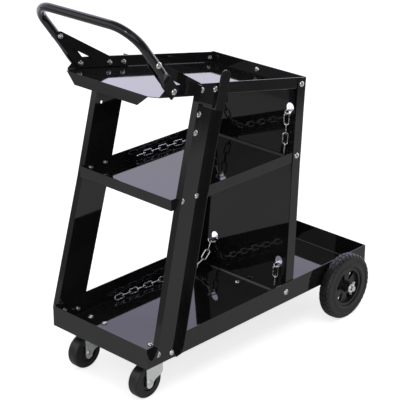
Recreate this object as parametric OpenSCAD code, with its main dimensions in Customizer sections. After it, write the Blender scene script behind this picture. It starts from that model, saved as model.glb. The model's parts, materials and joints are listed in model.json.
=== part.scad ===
// Three-tier welding cart in black sheet metal, on two large wheels and two swivel casters.
// X runs from the handle end to the wheel end, Y from the right side to the left, Z up.
// Sizes are in millimetres. Heights are above the ground, lengths along X start at the
// front edge of the bottom tray, and the whole cart is moved so that it stands centred.

/* [Sheet metal] */
// thickness of the trays, the shelf, the legs and the back panel
sheet = 1.5; // [1:0.1:2]
// gap between two sheets that are bolted together
seat = 0.1; // [0.05:0.05:0.2]
// outer radius of the folded edges
fold = 3; // [2.5:0.5:4]

/* [Bottom tray] */
// length of the bottom tray
bottom_length = 704; // [690:1:730]
// width of the bottom tray
bottom_width = 284; // [280:1:290]
// height of its walls, floor sheet included
bottom_wall = 48; // [44:1:52]
// underside of the bottom tray above the ground
tray_height = 93; // [92:0.5:98]

/* [Middle shelf] */
// front edge of the shelf
mid_front = 81; // [76:1:84]
// width of the shelf
mid_width = 266; // [262:1:270]
// height of its walls
mid_wall = 25; // [22:1:28]
// underside of the shelf above the ground
mid_height = 412; // [400:1:424]
// gap between the shelf floor and the back panel
mid_gap = 9; // [4:1:14]

/* [Top tray] */
// front end of the side walls
top_front = 54; // [48:1:60]
// underside of the floor at that end, above the ground
top_height = 653; // [646:1:658]
// slope of the tray, down to the rear
top_slope = 10.9; // [9:0.1:13]
// width of the tray
top_width = 264; // [260:1:268]
// height of its walls
top_wall = 25; // [24:1:28]
// reach of the floor past the side walls
lip_reach = 16; // [12:1:20]
// height of the lip that hangs from the floor
lip_drop = 23; // [18:1:28]
// how far the lip draws in at its lower corners
lip_inset = 27; // [20:1:34]

/* [Back panel] */
// back face of the panel, at the height of the tray underside
panel_foot = 446.5; // [440:0.5:452]
// lean of the panel to the rear
panel_lean = 4.2; // [3.5:0.1:5]
// upper edge of the panel past the upper edge of the top tray
panel_over = 0.9; // [0:0.1:3]
// depth of the side flanges
flange_depth = 25; // [22:1:30]
// depth of the foot that lies on the tray floor
foot_depth = 40; // [36:1:46]
// inner radius of the fold above that foot
foot_fillet = 6; // [4:1:8]

/* [Keyholes] */
// distance of the keyholes from the middle of the panel
keyhole_side = 97; // [92:1:102]
// upper pair, measured down from the upper edge of the panel
keyhole_top = 75; // [65:1:85]
// lower pair, measured up the panel
keyhole_lower = 79; // [76:1:84]
// radius of the round part
keyhole_radius = 10.3; // [9.5:0.1:11]
// width of the slot below it
slot_width = 6; // [5:0.5:7]
// centre of the round part to the end of the slot
slot_drop = 17; // [15:0.5:19]

/* [Front legs] */
// front edge of the leg, at the height of the tray underside
leg_foot = 4; // [2:0.5:8]
// lean of the legs to the rear
leg_lean = 14.6; // [14:0.1:15]
// width of the leg
leg_width = 76; // [72:1:80]
// depth of the flanges, which point outwards
leg_flange = 16; // [13:1:18]
// height of the slanting cut at the lower ends of the flanges
flange_cut = 14; // [10:1:18]
// bolt holes from the nearer edge of the leg
leg_hole_inset = 18; // [16:0.5:20]
// lower end of the leg, measured down from the foot bolts
leg_end = 11.5; // [10.5:0.5:12]
// foot bolts, measured up the leg
foot_bolts = 32; // [30:0.5:34]

/* [Handle] */
// outer diameter of the tube
tube = 18; // [16:0.5:20]
// wall of the tube
tube_wall = 1.5; // [1:0.1:2]
// lean of the handle to the front
handle_lean = 37.4; // [35:0.1:40]
// lower bolt to the axis of the crossbar
handle_reach = 183; // [175:1:200]
// radius of the bends, on the axis of the tube
handle_bend = 55; // [45:1:62]
// lower bolt to upper bolt
handle_pitch = 84.4; // [80:0.2:88]
// lower bolt from the front end of the tray wall
handle_bolt = 31; // [28:0.5:34]
// width of the flattened ends
flat_width = 26; // [24:0.5:27]
// thickness of the flattened ends
flat = 4.5; // [4:0.1:5]
// length of the flat above the lower bolt
flat_up = 30; // [27:1:32]
// length of the flat below the lower bolt
flat_down = 9; // [8:0.5:11]
// length over which the round tube becomes flat
flat_taper = 30; // [24:1:34]

/* [Handle brackets] */
// thickness of the bracket plates
plate = 2; // [1.5:0.1:2.5]
// radius of the bracket round its upper bolt
lug_radius = 10; // [9:0.5:11]
// width of the sloping arm
arm_width = 20.4; // [18:0.2:22]
// width of the strut that runs along the handle
strut_width = 15; // [12:0.5:17]
// how far the bracket reaches along the tray wall
bracket_reach = 170; // [167:1:180]

/* [Cable hook] */
// width of the strip
hook_width = 26; // [24:0.5:28]
// thickness of the strip
hook_strip = 3; // [2.5:0.1:3.5]
// how far it stands out from the leg
hook_reach = 54; // [45:1:60]
// height of the finger
hook_finger = 79; // [70:1:90]
// lower bolt of the hook, measured down from the upper end of the leg
hook_below = 96.6; // [94:0.2:102]
// distance between the two hook bolts
hook_pitch = 37; // [34:0.5:40]
// upper hook bolt to the underside of the shelf of the hook
hook_shelf = 20; // [17:0.5:22]

/* [Large wheels] */
// radius of the tyre
wheel_radius = 76.2; // [74:0.2:80]
// width of the tyre
tyre_width = 29; // [28:0.5:34]
// axle from the front of the bottom tray
wheel_place = 609; // [600:1:620]
// gap between tyre and tray wall
wheel_gap = 1.6; // [1.5:0.1:4]
// radius of the rim lip
rim_radius = 45; // [44:0.5:46]
// diameter of the axle
axle = 12; // [11:0.5:13]
// how far the hub stands out of the tyre
hub_out = 5; // [4:0.5:7]
// number of spokes
spokes = 6; // [5:1:7]
// turn of the right wheel in the view from outside
wheel_turn = 8; // [0:1:60]

/* [Casters] */
// radius of the caster wheels
caster_radius = 37.4; // [36:0.1:38]
// width of the caster wheels
caster_width = 26; // [24:0.5:28]
// swivel axis from the front of the bottom tray
caster_place = 58; // [56:1:62]
// swivel axis from the middle of the cart
caster_side = 92.5; // [88:0.5:96]
// offset of the wheel from the swivel axis
caster_trail = 18; // [15:0.5:20]
// distance between the plate bolts, both ways
caster_pitch = 44; // [42:0.5:46]
// side of the square mounting plate
caster_plate = 62; // [60:1:66]
// sheet of the plate and the fork
caster_sheet = 2.5; // [2:0.1:3]

/* [Chains] */
// diameter of the wire
wire = 3; // [2.6:0.1:3.2]
// outer length of a link
link_length = 28; // [27:0.25:28.5]
// outer width of a link
link_width = 14.5; // [13.5:0.5:15]
// play between two links
link_play = 0.3; // [0.2:0.05:0.4]
// links behind the panel, an odd number
loop_links = 9; // [9:2:11]
// slack of a left tail where it falls to its floor, as a share of a link
fall_slack = 1; // [0.95:0.05:1.1]
// links that lie on the middle shelf
upper_lying = 7; // [6:1:9]
// links that lie in the bottom tray
lower_lying = 10; // [8:1:11]
// how far the right-hand held links stand out of the panel
out_right = 15.3; // [15:0.1:16]
// how far the left-hand held links stand out of the panel
out_left = 16.5; // [16:0.1:17]
// turn of the left-hand held links towards the wall
held_turn = 20; // [0:1:22]
// turn towards the wall of the upper left tail, where it falls
upper_turn = 6; // [3:1:7]
// turn towards the wall of the lower left tail, where it falls
lower_turn = 16; // [8:1:18]

/* [Fasteners] */
// thread diameter of the cart bolts
bolt = 6; // [5.5:0.5:6]
// diameter of the bolt heads
head = 13; // [12:0.5:14]
// height of the bolt heads
head_height = 3.6; // [3:0.2:4]
// radial play of a bolt in its hole
bolt_play = 0.25; // [0.2:0.05:0.4]
// width of the nuts across their flats
nut_width = 10; // [9.5:0.1:10.5]
// radial play of the wheels and forks on what they turn on
running = 0.08; // [0.05:0.01:0.1]
// height of the nuts, flange included
nut_height = 5.2; // [4.8:0.1:5.6]
// diameter of the flange under each nut
nut_flange = 13; // [12:0.5:13.5]

/* [Hidden] */
$fn = 48;

black = [0.13, 0.13, 0.14];
zinc = [0.78, 0.79, 0.8];
rubber = [0.17, 0.17, 0.18];
plastic = [0.09, 0.09, 0.1];

// directions of the leaning pieces
leg_s = sin(leg_lean);
leg_c = cos(leg_lean);
top_s = sin(top_slope);
top_c = cos(top_slope);
lean_s = sin(panel_lean);
lean_c = cos(panel_lean);

// points on the leaning pieces, in the cart's X and Z
function on_leg(up, across) =
    [leg_foot + up * leg_s + across * leg_c, tray_height + up * leg_c - across * leg_s];
function on_top(along, up) =
    [top_front + along * top_c + up * top_s, top_height - along * top_s + up * top_c];
function on_panel(up, back) =
    [panel_foot + up * lean_s + back * lean_c, tray_height + up * lean_c - back * lean_s];

// lower bolt of the handle, in the middle of the top tray's wall
handle_base = on_top(handle_bolt, top_wall / 2);
handle_dir = [-sin(handle_lean), cos(handle_lean)];
bar = handle_base + handle_reach * handle_dir;
upper_bolt = handle_base + handle_pitch * handle_dir;

// the cart is centred between the crossbar and the rear end of the tray
cart_front = bar[0] - tube / 2;
cart_middle = (cart_front + bottom_length) / 2;

// height on the leg at which it meets a level, at a distance across the leg
function leg_at(height, across) = (height - tray_height + across * leg_s) / leg_c;
// the same for the top edge of the top tray, which slopes
top_edge = top_height + top_wall / top_c;
function leg_top(across) =
    (top_edge - tray_height + across * leg_s
        - (leg_foot + across * leg_c - top_front) * tan(top_slope))
    / (leg_c + leg_s * tan(top_slope));

// places that hang from the upper edge of the top tray
panel_length = panel_over
    + (top_edge - tray_height - (panel_foot - top_front) * tan(top_slope))
    / (lean_c + lean_s * tan(top_slope));
keyhole_upper = panel_length - keyhole_top;
hook_bolt = leg_top(0) - hook_below;

// inner faces of the leg webs, from the middle of the cart
leg_low = bottom_width / 2 + seat;
leg_mid = mid_width / 2 + seat;
leg_high = top_width / 2 + seat;
// levels between which the web stands upright on a wall
hook_low = on_leg(hook_bolt - 18, 0)[1];
web_levels = [
    [leg_low, tray_height - 30], [leg_low, tray_height + bottom_wall + 2],
    [leg_mid, mid_height - 2], [leg_mid, mid_height + mid_wall + 4],
    [leg_high, hook_low], [leg_high, top_height + 60]
];

// outer faces of the panel flanges, measured up the panel
panel_low = bottom_width / 2 - sheet - seat;
panel_mid = mid_width / 2 + seat + sheet;
panel_high = top_width / 2 + seat + sheet;
function up_panel(height) = (height - tray_height) / lean_c;
// the foot and the flanges stay clear of the tray's inner fold
panel_start = (sheet + seat) / lean_c;
flange_start = (max(fold, 2 * sheet) + seat) / lean_c;
foot_half = bottom_width / 2 - max(fold, 2 * sheet) - seat;
fillet_half = foot_half - 2;
flange_levels = [
    [panel_low, flange_start], [panel_low, up_panel(tray_height + bottom_wall + 2)],
    [panel_mid, up_panel(mid_height - 2)], [panel_mid, up_panel(mid_height + mid_wall + 4)],
    [panel_high, up_panel(mid_height + mid_wall + 90)], [panel_high, panel_length]
];

// where the top tray's floor would meet the front of the panel, along the tray
top_reach = (panel_foot - (sheet + seat) / lean_c - top_front
        + tan(panel_lean) * (top_height - tray_height))
    / (top_c + tan(panel_lean) * top_s);

// places of the bolts
leg_across = [leg_hole_inset, leg_width - leg_hole_inset];
foot_places = [for (a = leg_across) on_leg(foot_bolts, a)];
mid_level = mid_height + mid_wall / 2 + 2;
mid_places = [for (a = leg_across) on_leg(leg_at(mid_level, a), a)];
top_line = [for (a = leg_across) leg_top(a) - top_wall / 2 / (leg_c * top_c)];
top_places = [for (i = [0, 1]) on_leg(top_line[i], leg_across[i])];
hook_places = [for (k = [0, 1]) on_leg(hook_bolt + k * hook_pitch, leg_hole_inset)];
flange_bolt = 14;
foot_bolt = 22;
panel_top = up_panel(on_top(top_reach, 0)[1] + top_wall / 2);
panel_places = [
    on_panel(panel_top, -flange_bolt), on_panel(up_panel(mid_level), -flange_bolt),
    [panel_foot - foot_bolt, tray_height + 26]
];

axle_height = wheel_radius;
wheel_in = bottom_width / 2 + wheel_gap;
wheel_mid = wheel_in + tyre_width / 2;
wheel_out = wheel_in + tyre_width;
washer = 2;
pin = 3;
pin_turn = 25;
hub_end = wheel_out + hub_out;
bracket_sheet = 3;
bracket_out = wheel_in - washer - 2 * seat;

caster_top = tray_height - seat;
race = 6.6;
fork_top = caster_top - caster_sheet - race - 0.3;
kingpin = 5;
caster_bolt = 4;
fork_gap = caster_width / 2 + 1;

// chain sizes: wire centre lines, and the distance from link to link
bow = (link_width - wire) / 2;
half_link = (link_length - wire) / 2;
link_pitch = link_length - 2 * wire - link_play;
clear = wire + link_play;

module cart() {
    translate([-cart_middle, 0, 0]) children();
}

// an outline in X and Z, made thick along Y from one distance to another
module upright(from, to) {
    translate([0, to, 0]) rotate([90, 0, 0]) linear_extrude(to - from) children();
}

// an outline in Y and Z, made thick along X from one distance to another
module across(from, to) {
    translate([from, 0, 0]) rotate([90, 0, 90]) linear_extrude(to - from) children();
}

// a round hole or shaft along Y at a place in X and Z
module through(place, radius, from, to) {
    translate([place[0], to, place[1]]) rotate([90, 0, 0]) cylinder(r = radius, h = to - from);
}

// bolt holes along Y, on both sides of the cart
module side_holes(places) {
    for (p = places, s = [-1, 1])
        through(p, bolt / 2 + bolt_play, s * 135 - 30, s * 135 + 30);
}

// a block with its two lower edges rounded
module trough(half, high, radius) {
    union() {
        translate([-half, radius]) square([2 * half, high - radius]);
        translate([radius - half, 0]) square([2 * (half - radius), high]);
        for (s = [-1, 1])
            translate([s * (half - radius), radius]) circle(r = radius);
    }
}

// the space of a tray from one X to another, folded below on all four sides
module tray_block(from, to, half, high, radius) {
    intersection() {
        across(from - 1, to + 1) trough(half, high, radius);
        translate([(from + to) / 2, 0, 0]) upright(-half - 1, half + 1)
            trough((to - from) / 2, high, radius);
    }
}

module bottom_tray() {
    color(black) cart() difference() {
        translate([0, 0, tray_height])
            tray_block(0, bottom_length, bottom_width / 2, bottom_wall, fold);
        translate([0, 0, tray_height + sheet])
            tray_block(sheet, bottom_length - sheet, bottom_width / 2 - sheet,
                bottom_wall + 5, fold - sheet);
        side_holes(foot_places);
        side_holes([panel_places[2]]);
        caster_holes();
        translate([panel_foot - foot_bolt, 0, tray_height - 5])
            cylinder(r = bolt / 2 + bolt_play, h = 20);
    }
}

mid_rear = on_panel(up_panel(mid_height), -sheet)[0];
module middle_shelf() {
    wall_end = mid_rear - 3;
    color(black) cart() difference() {
        translate([0, 0, mid_height])
            tray_block(mid_front, mid_rear + 60, mid_width / 2, mid_wall, fold);
        translate([0, 0, mid_height + sheet])
            tray_block(mid_front + sheet, mid_rear + 90, mid_width / 2 - sheet,
                mid_wall + 5, fold - sheet);
        translate([wall_end, -mid_width, mid_height - 1])
            cube([100, 2 * mid_width, mid_wall + 2]);
        translate([mid_rear - mid_gap, fold - mid_width / 2, mid_height - 1])
            cube([100, mid_width - 2 * fold, mid_wall + 2]);
        side_holes(mid_places);
        side_holes([panel_places[1]]);
    }
}

// a frame on the sloping floor of the top tray: X along it, Z square to it
module on_top_floor() {
    translate([top_front, 0, top_height]) rotate([0, top_slope, 0]) children();
}

module top_tray() {
    half = top_width / 2;
    tip = half - lip_reach;
    // the rear end is cut parallel to the panel
    draw_in = tan(top_slope - panel_lean);
    wall_start = 3;
    color(black) cart() difference() {
        on_top_floor() union() {
            difference() {
                intersection() {
                    across(0, top_reach) trough(half, top_wall, fold);
                    upright(-half - 1, half + 1) polygon([
                        [0, 0], [top_reach, 0],
                        [top_reach - top_wall * draw_in, top_wall],
                        [top_wall - wall_start, top_wall], [0, wall_start]
                    ]);
                }
                intersection() {
                    translate([0, 0, sheet])
                        across(-1, top_reach + 1) trough(half - sheet, top_wall + 5, fold - sheet);
                    upright(-half, half) polygon([
                        [-1, 0], [top_reach - sheet, 0],
                        [top_reach - sheet - (top_wall + 9) * draw_in, top_wall + 9],
                        [-1, top_wall + 9]
                    ]);
                }
            }
            linear_extrude(sheet) polygon([
                [fold, fold - half], [0, fold - half], [-lip_reach, -tip],
                [-lip_reach, tip], [0, half - fold], [fold, half - fold]
            ]);
            across(-lip_reach, sheet - lip_reach) polygon([
                [-tip, sheet], [tip, sheet],
                [tip - lip_inset, sheet - lip_drop], [lip_inset - tip, sheet - lip_drop]
            ]);
        }
        side_holes(top_places);
        side_holes([handle_base, panel_places[0]]);
        centre_hole();
    }
}

// a frame on the leaning panel: X square to it, Z up along it, the back face at X = 0
module on_back_panel() {
    translate([panel_foot, 0, tray_height]) rotate([0, panel_lean, 0]) children();
}

// the bolt hole at the top middle, through the tray's rear wall and the panel
module centre_hole() {
    on_back_panel() translate([-20, 0, panel_top]) rotate([0, 90, 0])
        cylinder(r = bolt / 2 + bolt_play, h = 40);
}

module keyhole(up) {
    across(-sheet - 5, 5) union() {
        translate([0, up]) circle(r = keyhole_radius);
        translate([-slot_width / 2, up - slot_drop + slot_width / 2])
            square([slot_width, slot_drop - slot_width / 2]);
        translate([0, up - slot_drop + slot_width / 2]) circle(d = slot_width);
    }
}

module back_panel() {
    n = len(flange_levels);
    outer = flange_levels;
    mirrored = [for (i = [n - 1:-1:0]) [-outer[i][0], outer[i][1]]];
    inner = [for (i = [n - 1:-1:0]) [outer[i][0] - sheet, outer[i][1]]];
    ear = up_panel(tray_height + bottom_wall - 4);
    color(black) cart() difference() {
        union() {
            on_back_panel() {
                across(-sheet, 0) polygon(concat([[foot_half, panel_start]], outer,
                    mirrored, [[-foot_half, panel_start]]));
                for (s = [0, 1]) mirror([0, s, 0]) {
                    across(-flange_depth, 0) polygon(concat(outer, inner));
                    translate([-foot_depth, panel_low - sheet, flange_start + 2])
                        cube([foot_depth, sheet, ear - 8]);
                }
            }
            translate([panel_foot - foot_depth, -foot_half, tray_height + sheet + seat])
                cube([foot_depth, 2 * foot_half, sheet]);
            difference() {
                translate([panel_foot - sheet - foot_fillet, -fillet_half,
                        tray_height + 2 * sheet + seat])
                    cube([foot_fillet + sheet / 2, 2 * fillet_half, foot_fillet]);
                translate([panel_foot - sheet - foot_fillet, -200,
                        tray_height + 2 * sheet + seat + foot_fillet])
                    rotate([-90, 0, 0]) cylinder(r = foot_fillet, h = 400);
            }
        }
        on_back_panel() for (s = [-1, 1], up = [keyhole_lower, keyhole_upper])
            translate([0, s * keyhole_side, 0]) keyhole(up);
        side_holes(panel_places);
        centre_hole();
        translate([panel_foot - foot_bolt, 0, tray_height - 5])
            cylinder(r = bolt / 2 + bolt_play, h = 20);
    }
}

// the outline of a strip of the leg, between two distances across it
module leg_outline(from, to) {
    low = foot_bolts - leg_end;
    polygon([
        on_leg(low, from), on_leg(low, to), on_leg(leg_top(to), to), on_leg(leg_top(from), from)
    ]);
}

// the band that the web follows from wall to wall, of a given thickness
module leg_band(thick) {
    n = len(web_levels);
    polygon(concat(web_levels, [for (i = [n - 1:-1:0]) web_levels[i] + [thick, 0]]));
}

module leg() {
    difference() {
        union() {
            intersection() {
                upright(100, 200) leg_outline(0, leg_width);
                across(-50, 400) leg_band(sheet);
            }
            for (edge = [0, leg_width - sheet]) intersection() {
                upright(100, 200) leg_outline(edge, edge + sheet);
                across(-50, 400) leg_band(leg_flange);
            }
        }
        translate([leg_foot, 0, tray_height]) rotate([0, leg_lean, 0]) flange_ends();
        side_holes(concat(foot_places, mid_places));
        side_holes(concat(top_places, hook_places));
    }
}

// what is cut off the lower outer corners of the flanges, on the slope of the leg
module flange_ends() {
    root = leg_low + sheet + 1;
    low = foot_bolts - leg_end;
    out = leg_low + leg_flange + 5;
    slope = flange_cut / (leg_low + leg_flange - root);
    translate([-5, 0, 0]) rotate([90, 0, 90]) linear_extrude(leg_width + 10)
        polygon([[root - 10 / slope, low - 10], [out, low + slope * (out - root)], [out, low - 10]]);
}

module front_leg_left() {
    color(black) cart() leg();
}

module front_leg_right() {
    color(black) cart() mirror([0, 1, 0]) leg();
}

// faces across the handle joint, from the middle of the cart outwards
bracket_face = top_width / 2 - sheet - seat;
flat_face = top_width / 2 + seat;
tube_side = bracket_face + tube / 2 + seat;

// a frame on one leg of the handle: Z up along it from the lower bolt, Y outwards
module on_handle() {
    translate([handle_base[0], 0, handle_base[1]]) rotate([0, -handle_lean, 0]) children();
}

module handle_outline(radius) {
    straight = handle_reach - handle_bend;
    side = tube_side - handle_bend;
    from = flat_up + flat_taper;
    for (s = [0, 1]) mirror([0, s, 0]) {
        translate([0, tube_side, from]) cylinder(r = radius, h = straight - from);
        translate([0, side, straight]) rotate([90, 0, 90])
            rotate_extrude(angle = 90) translate([handle_bend, 0]) circle(r = radius);
    }
    translate([0, -side, handle_reach]) rotate([-90, 0, 0]) cylinder(r = radius, h = 2 * side);
}

module handle_tube() {
    from = flat_up + flat_taper;
    color(black) cart() difference() {
        on_handle() union() {
            difference() {
                handle_outline(tube / 2);
                handle_outline(tube / 2 - tube_wall);
            }
            for (s = [0, 1]) mirror([0, s, 0]) {
                translate([-flat_width / 2, flat_face, -flat_down])
                    cube([flat_width, flat, flat_down + flat_up]);
                hull() {
                    translate([-flat_width / 2, flat_face, flat_up - 0.5])
                        cube([flat_width, flat, 0.5]);
                    translate([0, tube_side, from]) cylinder(d = tube, h = 1, $fn = 32);
                }
            }
        }
        side_holes([handle_base, upper_bolt]);
    }
}

// where two lines in X and Z cross, each given by a point and a direction
function meet(p, d, q, e) =
    p + d * ((q[0] - p[0]) * e[1] - (q[1] - p[1]) * e[0]) / (d[0] * e[1] - d[1] * e[0]);

// the bracket between tray wall and handle: a round lug at each handle bolt, a strut along
// the handle, and an arm that slopes down to the tray wall, with a window between them
arm_end = on_top(leg_hole_inset + 96, top_wall - 1);
arm_run = arm_end - upper_bolt;
arm_turn = atan2(arm_run[1], arm_run[0]) - asin(lug_radius / norm(arm_run));
arm_dir = [cos(arm_turn), sin(arm_turn)];
arm_up = [-arm_dir[1], arm_dir[0]];
strut_side = [handle_dir[1], -handle_dir[0]];

module bracket_plate() {
    // the straight edges run a hair inside the round lugs, so that they join as one piece
    edge = lug_radius - 0.05;
    low = min(edge, top_wall / 2 - sheet - 0.5);
    polygon([
        upper_bolt + edge * arm_up, arm_end,
        on_top(bracket_reach, top_wall - 1), on_top(bracket_reach, fold + 0.5),
        on_top(handle_bolt, top_wall / 2 - low), handle_base - edge * strut_side,
        upper_bolt - edge * strut_side
    ]);
}

module bracket_window() {
    a = upper_bolt + (lug_radius - arm_width) * arm_up;
    b = upper_bolt + (strut_width - lug_radius) * strut_side;
    sill = on_top(0, top_wall - 3);
    sill_dir = [top_c, -top_s];
    polygon([
        meet(a, arm_dir, b, handle_dir), meet(a, arm_dir, sill, sill_dir),
        meet(b, handle_dir, sill, sill_dir)
    ]);
}

module bracket() {
    from = bracket_face - plate;
    difference() {
        union() {
            difference() {
                upright(from, bracket_face) bracket_plate();
                upright(from - 1, bracket_face + 1) bracket_window();
            }
            for (p = [handle_base, upper_bolt]) through(p, lug_radius, from, bracket_face);
        }
        side_holes(concat(top_places, [handle_base, upper_bolt]));
    }
}

module handle_bracket_left() {
    color(black) cart() bracket();
}

module handle_bracket_right() {
    color(black) cart() mirror([0, 1, 0]) bracket();
}

// a frame on the leg: X across it to the rear, Z up along it, for the right-hand side
module on_right_leg() {
    translate([leg_foot, 0, tray_height]) rotate([0, leg_lean, 0]) children();
}

module cable_hook() {
    face = leg_high + sheet + seat;
    low = hook_bolt - 14;
    shelf = hook_bolt + hook_pitch + hook_shelf;
    middle = leg_hole_inset + 2;
    half = hook_width / 2;
    tip = shelf + hook_finger - half;
    color(black) cart() difference() {
        on_right_leg() union() {
            translate([middle - half, -face - hook_strip, low])
                cube([hook_width, hook_strip, shelf + hook_strip - low]);
            translate([middle - half, -face - hook_reach, shelf])
                cube([hook_width, hook_reach, hook_strip]);
            translate([middle - half, -face - hook_reach, shelf])
                cube([hook_width, hook_strip, tip - shelf]);
            translate([middle, hook_strip - face - hook_reach, tip])
                rotate([90, 0, 0]) cylinder(r = half, h = hook_strip);
        }
        side_holes(hook_places);
    }
}

// a bolt along Z: its head below zero, its shank up to the given length
module screw(length) {
    ball = (pow(head / 2, 2) + pow(head_height, 2)) / (2 * head_height);
    difference() {
        union() {
            intersection() {
                translate([0, 0, ball - head_height]) sphere(r = ball);
                translate([0, 0, -head_height]) cylinder(d = head, h = head_height);
            }
            cylinder(d = bolt, h = length);
        }
        for (a = [0, 90]) rotate([0, 0, a])
            translate([-2.6, -0.6, -head_height - 1]) cube([5.2, 1.2, 2.4]);
    }
}

// a flanged hexagon nut, standing on Z = 0
module nut() {
    difference() {
        union() {
            cylinder(d = nut_flange, h = 1.2);
            cylinder(d = nut_width / cos(30), h = nut_height, $fn = 6);
        }
        translate([0, 0, -1]) cylinder(d = bolt + 0.1, h = nut_height + 2);
    }
}

// how far a bolt stands out past its nut
bolt_end = 1.5;

// a bolt through a side, its head outside at one distance, its nut inside at another
module side_screw(place, outside, inside) {
    translate([place[0], outside, place[1]]) rotate([90, 0, 0])
        screw(outside - inside + nut_height + bolt_end);
}

module side_nut(place, inside) {
    translate([place[0], inside, place[1]]) rotate([90, 0, 0]) nut();
}

// the places of all bolts through the sides: place, outer face, inner face
foot_grip = [leg_low + sheet + seat, leg_low - seat - sheet - seat];
mid_grip = [leg_mid + sheet + seat, leg_mid - seat - sheet - seat];
top_grip = [leg_high + sheet + seat, bracket_face - plate - seat];
leg_set = concat(
    [for (p = foot_places) [p, foot_grip]],
    [for (p = mid_places) [p, mid_grip]],
    [for (p = top_places) [p, top_grip]]
);
handle_set = [
    [handle_base, [flat_face + flat + seat, bracket_face - plate - seat]],
    [upper_bolt, [tube_side + tube / 2 + seat, bracket_face - plate - seat]]
];
flange_set = [
    [panel_places[0], [panel_high + seat, panel_high - 2 * sheet - 2 * seat]],
    [panel_places[1], [panel_mid + seat, panel_mid - 2 * sheet - 2 * seat]],
    [panel_places[2], [bottom_width / 2 + seat, panel_low - sheet - seat]]
];

module bolts_on_sides(set) {
    for (s = [0, 1], b = set) mirror([0, s, 0]) side_screw(b[0], b[1][0], b[1][1]);
}

module nuts_on_sides(set) {
    for (s = [0, 1], b = set) mirror([0, s, 0]) side_nut(b[0], b[1][1]);
}

module leg_bolts() {
    color(zinc) cart() bolts_on_sides(leg_set);
}

module leg_nuts() {
    color(zinc) cart() nuts_on_sides(leg_set);
}

module handle_bolts() {
    color(zinc) cart() bolts_on_sides(handle_set);
}

module handle_nuts() {
    color(zinc) cart() nuts_on_sides(handle_set);
}

module hook_bolts() {
    outer = leg_high + sheet + 2 * seat + hook_strip;
    color(zinc) cart() mirror([0, 1, 0])
        for (p = hook_places) side_screw(p, outer, leg_high - seat);
}

module hook_nuts() {
    color(zinc) cart() mirror([0, 1, 0]) for (p = hook_places) side_nut(p, leg_high - seat);
}

// two bolts stand in the middle of the panel: one at the top, one through the foot
panel_grip = 2 * sheet + 3 * seat;
module panel_bolts() {
    color(zinc) cart() {
        bolts_on_sides(flange_set);
        on_back_panel() translate([-2 * sheet - 2 * seat, 0, panel_top])
            rotate([0, 90, 0]) screw(panel_grip + nut_height + bolt_end);
        translate([panel_foot - foot_bolt, 0, tray_height + 2 * sheet + 2 * seat])
            rotate([180, 0, 0]) screw(panel_grip + nut_height + bolt_end);
    }
}

module panel_nuts() {
    color(zinc) cart() {
        nuts_on_sides(flange_set);
        on_back_panel() translate([seat, 0, panel_top]) rotate([0, 90, 0]) nut();
        translate([panel_foot - foot_bolt, 0, tray_height - seat]) rotate([180, 0, 0]) nut();
    }
}

// the four corners of a caster's bolt pattern, for both casters
module at_caster_bolts() {
    for (s = [-1, 1], x = [-1, 1], y = [-1, 1])
        translate([caster_place + x * caster_pitch / 2,
                s * caster_side + y * caster_pitch / 2, 0]) children();
}

module caster_holes() {
    at_caster_bolts() translate([0, 0, tray_height - 10])
        cylinder(r = bolt / 2 + bolt_play, h = 20);
}

caster_nut = nut_height - 0.4;
module caster_bolts() {
    grip = sheet + caster_sheet + 3 * seat;
    color(zinc) cart() at_caster_bolts() translate([0, 0, tray_height + sheet + seat])
        rotate([180, 0, 0]) screw(grip + caster_nut + 0.6);
}

module caster_nuts() {
    color(zinc) cart() at_caster_bolts()
        translate([0, 0, caster_top - caster_sheet - seat]) rotate([180, 0, 0]) difference() {
            cylinder(d = nut_width / cos(30), h = caster_nut, $fn = 6);
            translate([0, 0, -1]) cylinder(d = bolt + 0.1, h = nut_height + 2);
        }
}

// an angle bracket under the tray carries each end of the axle
module axle_bracket() {
    high = tray_height - seat;
    wide = 44;
    reach = 28;
    difference() {
        union() {
            upright(bracket_out - bracket_sheet, bracket_out) polygon([
                [wheel_place - wide / 2, high], [wheel_place + wide / 2, high],
                [wheel_place + wide / 2, high - 6], [wheel_place + axle, axle_height - axle],
                [wheel_place - axle, axle_height - axle], [wheel_place - wide / 2, high - 6]
            ]);
            translate([wheel_place - wide / 2, bracket_out - reach, high - bracket_sheet])
                cube([wide, reach, bracket_sheet]);
        }
        through([wheel_place, axle_height], axle / 2 + 0.1, 0, 200);
    }
}

module axle_bracket_left() {
    color(black) cart() axle_bracket();
}

module axle_bracket_right() {
    color(black) cart() mirror([0, 1, 0]) axle_bracket();
}

pin_place = hub_end + washer + 3 * seat + pin / 2;
axle_end = pin_place + 5;
module axle_shaft() {
    color(zinc) cart() difference() {
        through([wheel_place, axle_height], axle / 2, -axle_end, axle_end);
        for (s = [-1, 1]) translate([wheel_place, s * pin_place, axle_height])
            rotate([0, pin_turn, 0]) cylinder(d = pin + 2 * seat, h = 40, center = true);
    }
}

module ring(outer, from, to) {
    difference() {
        through([wheel_place, axle_height], outer, from, to);
        through([wheel_place, axle_height], axle / 2 + seat, from - 1, to + 1);
    }
}

module axle_washers() {
    color(zinc) cart() for (s = [0, 1]) mirror([0, s, 0]) {
        ring(11, bracket_out + seat, bracket_out + seat + washer);
        ring(11, hub_end + seat, hub_end + seat + washer);
    }
}

// a split pin: a ring above the axle and two prongs below it, opened a little
module split_pin() {
    stem = axle / 2 + 3;
    union() {
        translate([0, 0, -stem]) cylinder(d = pin, h = 2 * stem);
        translate([0, 0, stem + 3]) rotate([90, 0, 0]) rotate_extrude()
            translate([3.2, 0]) circle(d = 2.4, $fn = 24);
        for (s = [-1, 1]) translate([0, 0, 0.6 - stem]) rotate([0, s * 35, 0])
            translate([0, 0, -7]) cylinder(d = 1.4, h = 7);
    }
}

module split_pins() {
    color(zinc) cart() for (s = [-1, 1])
        translate([wheel_place, s * pin_place, axle_height]) rotate([0, pin_turn, 0]) split_pin();
}

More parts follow.
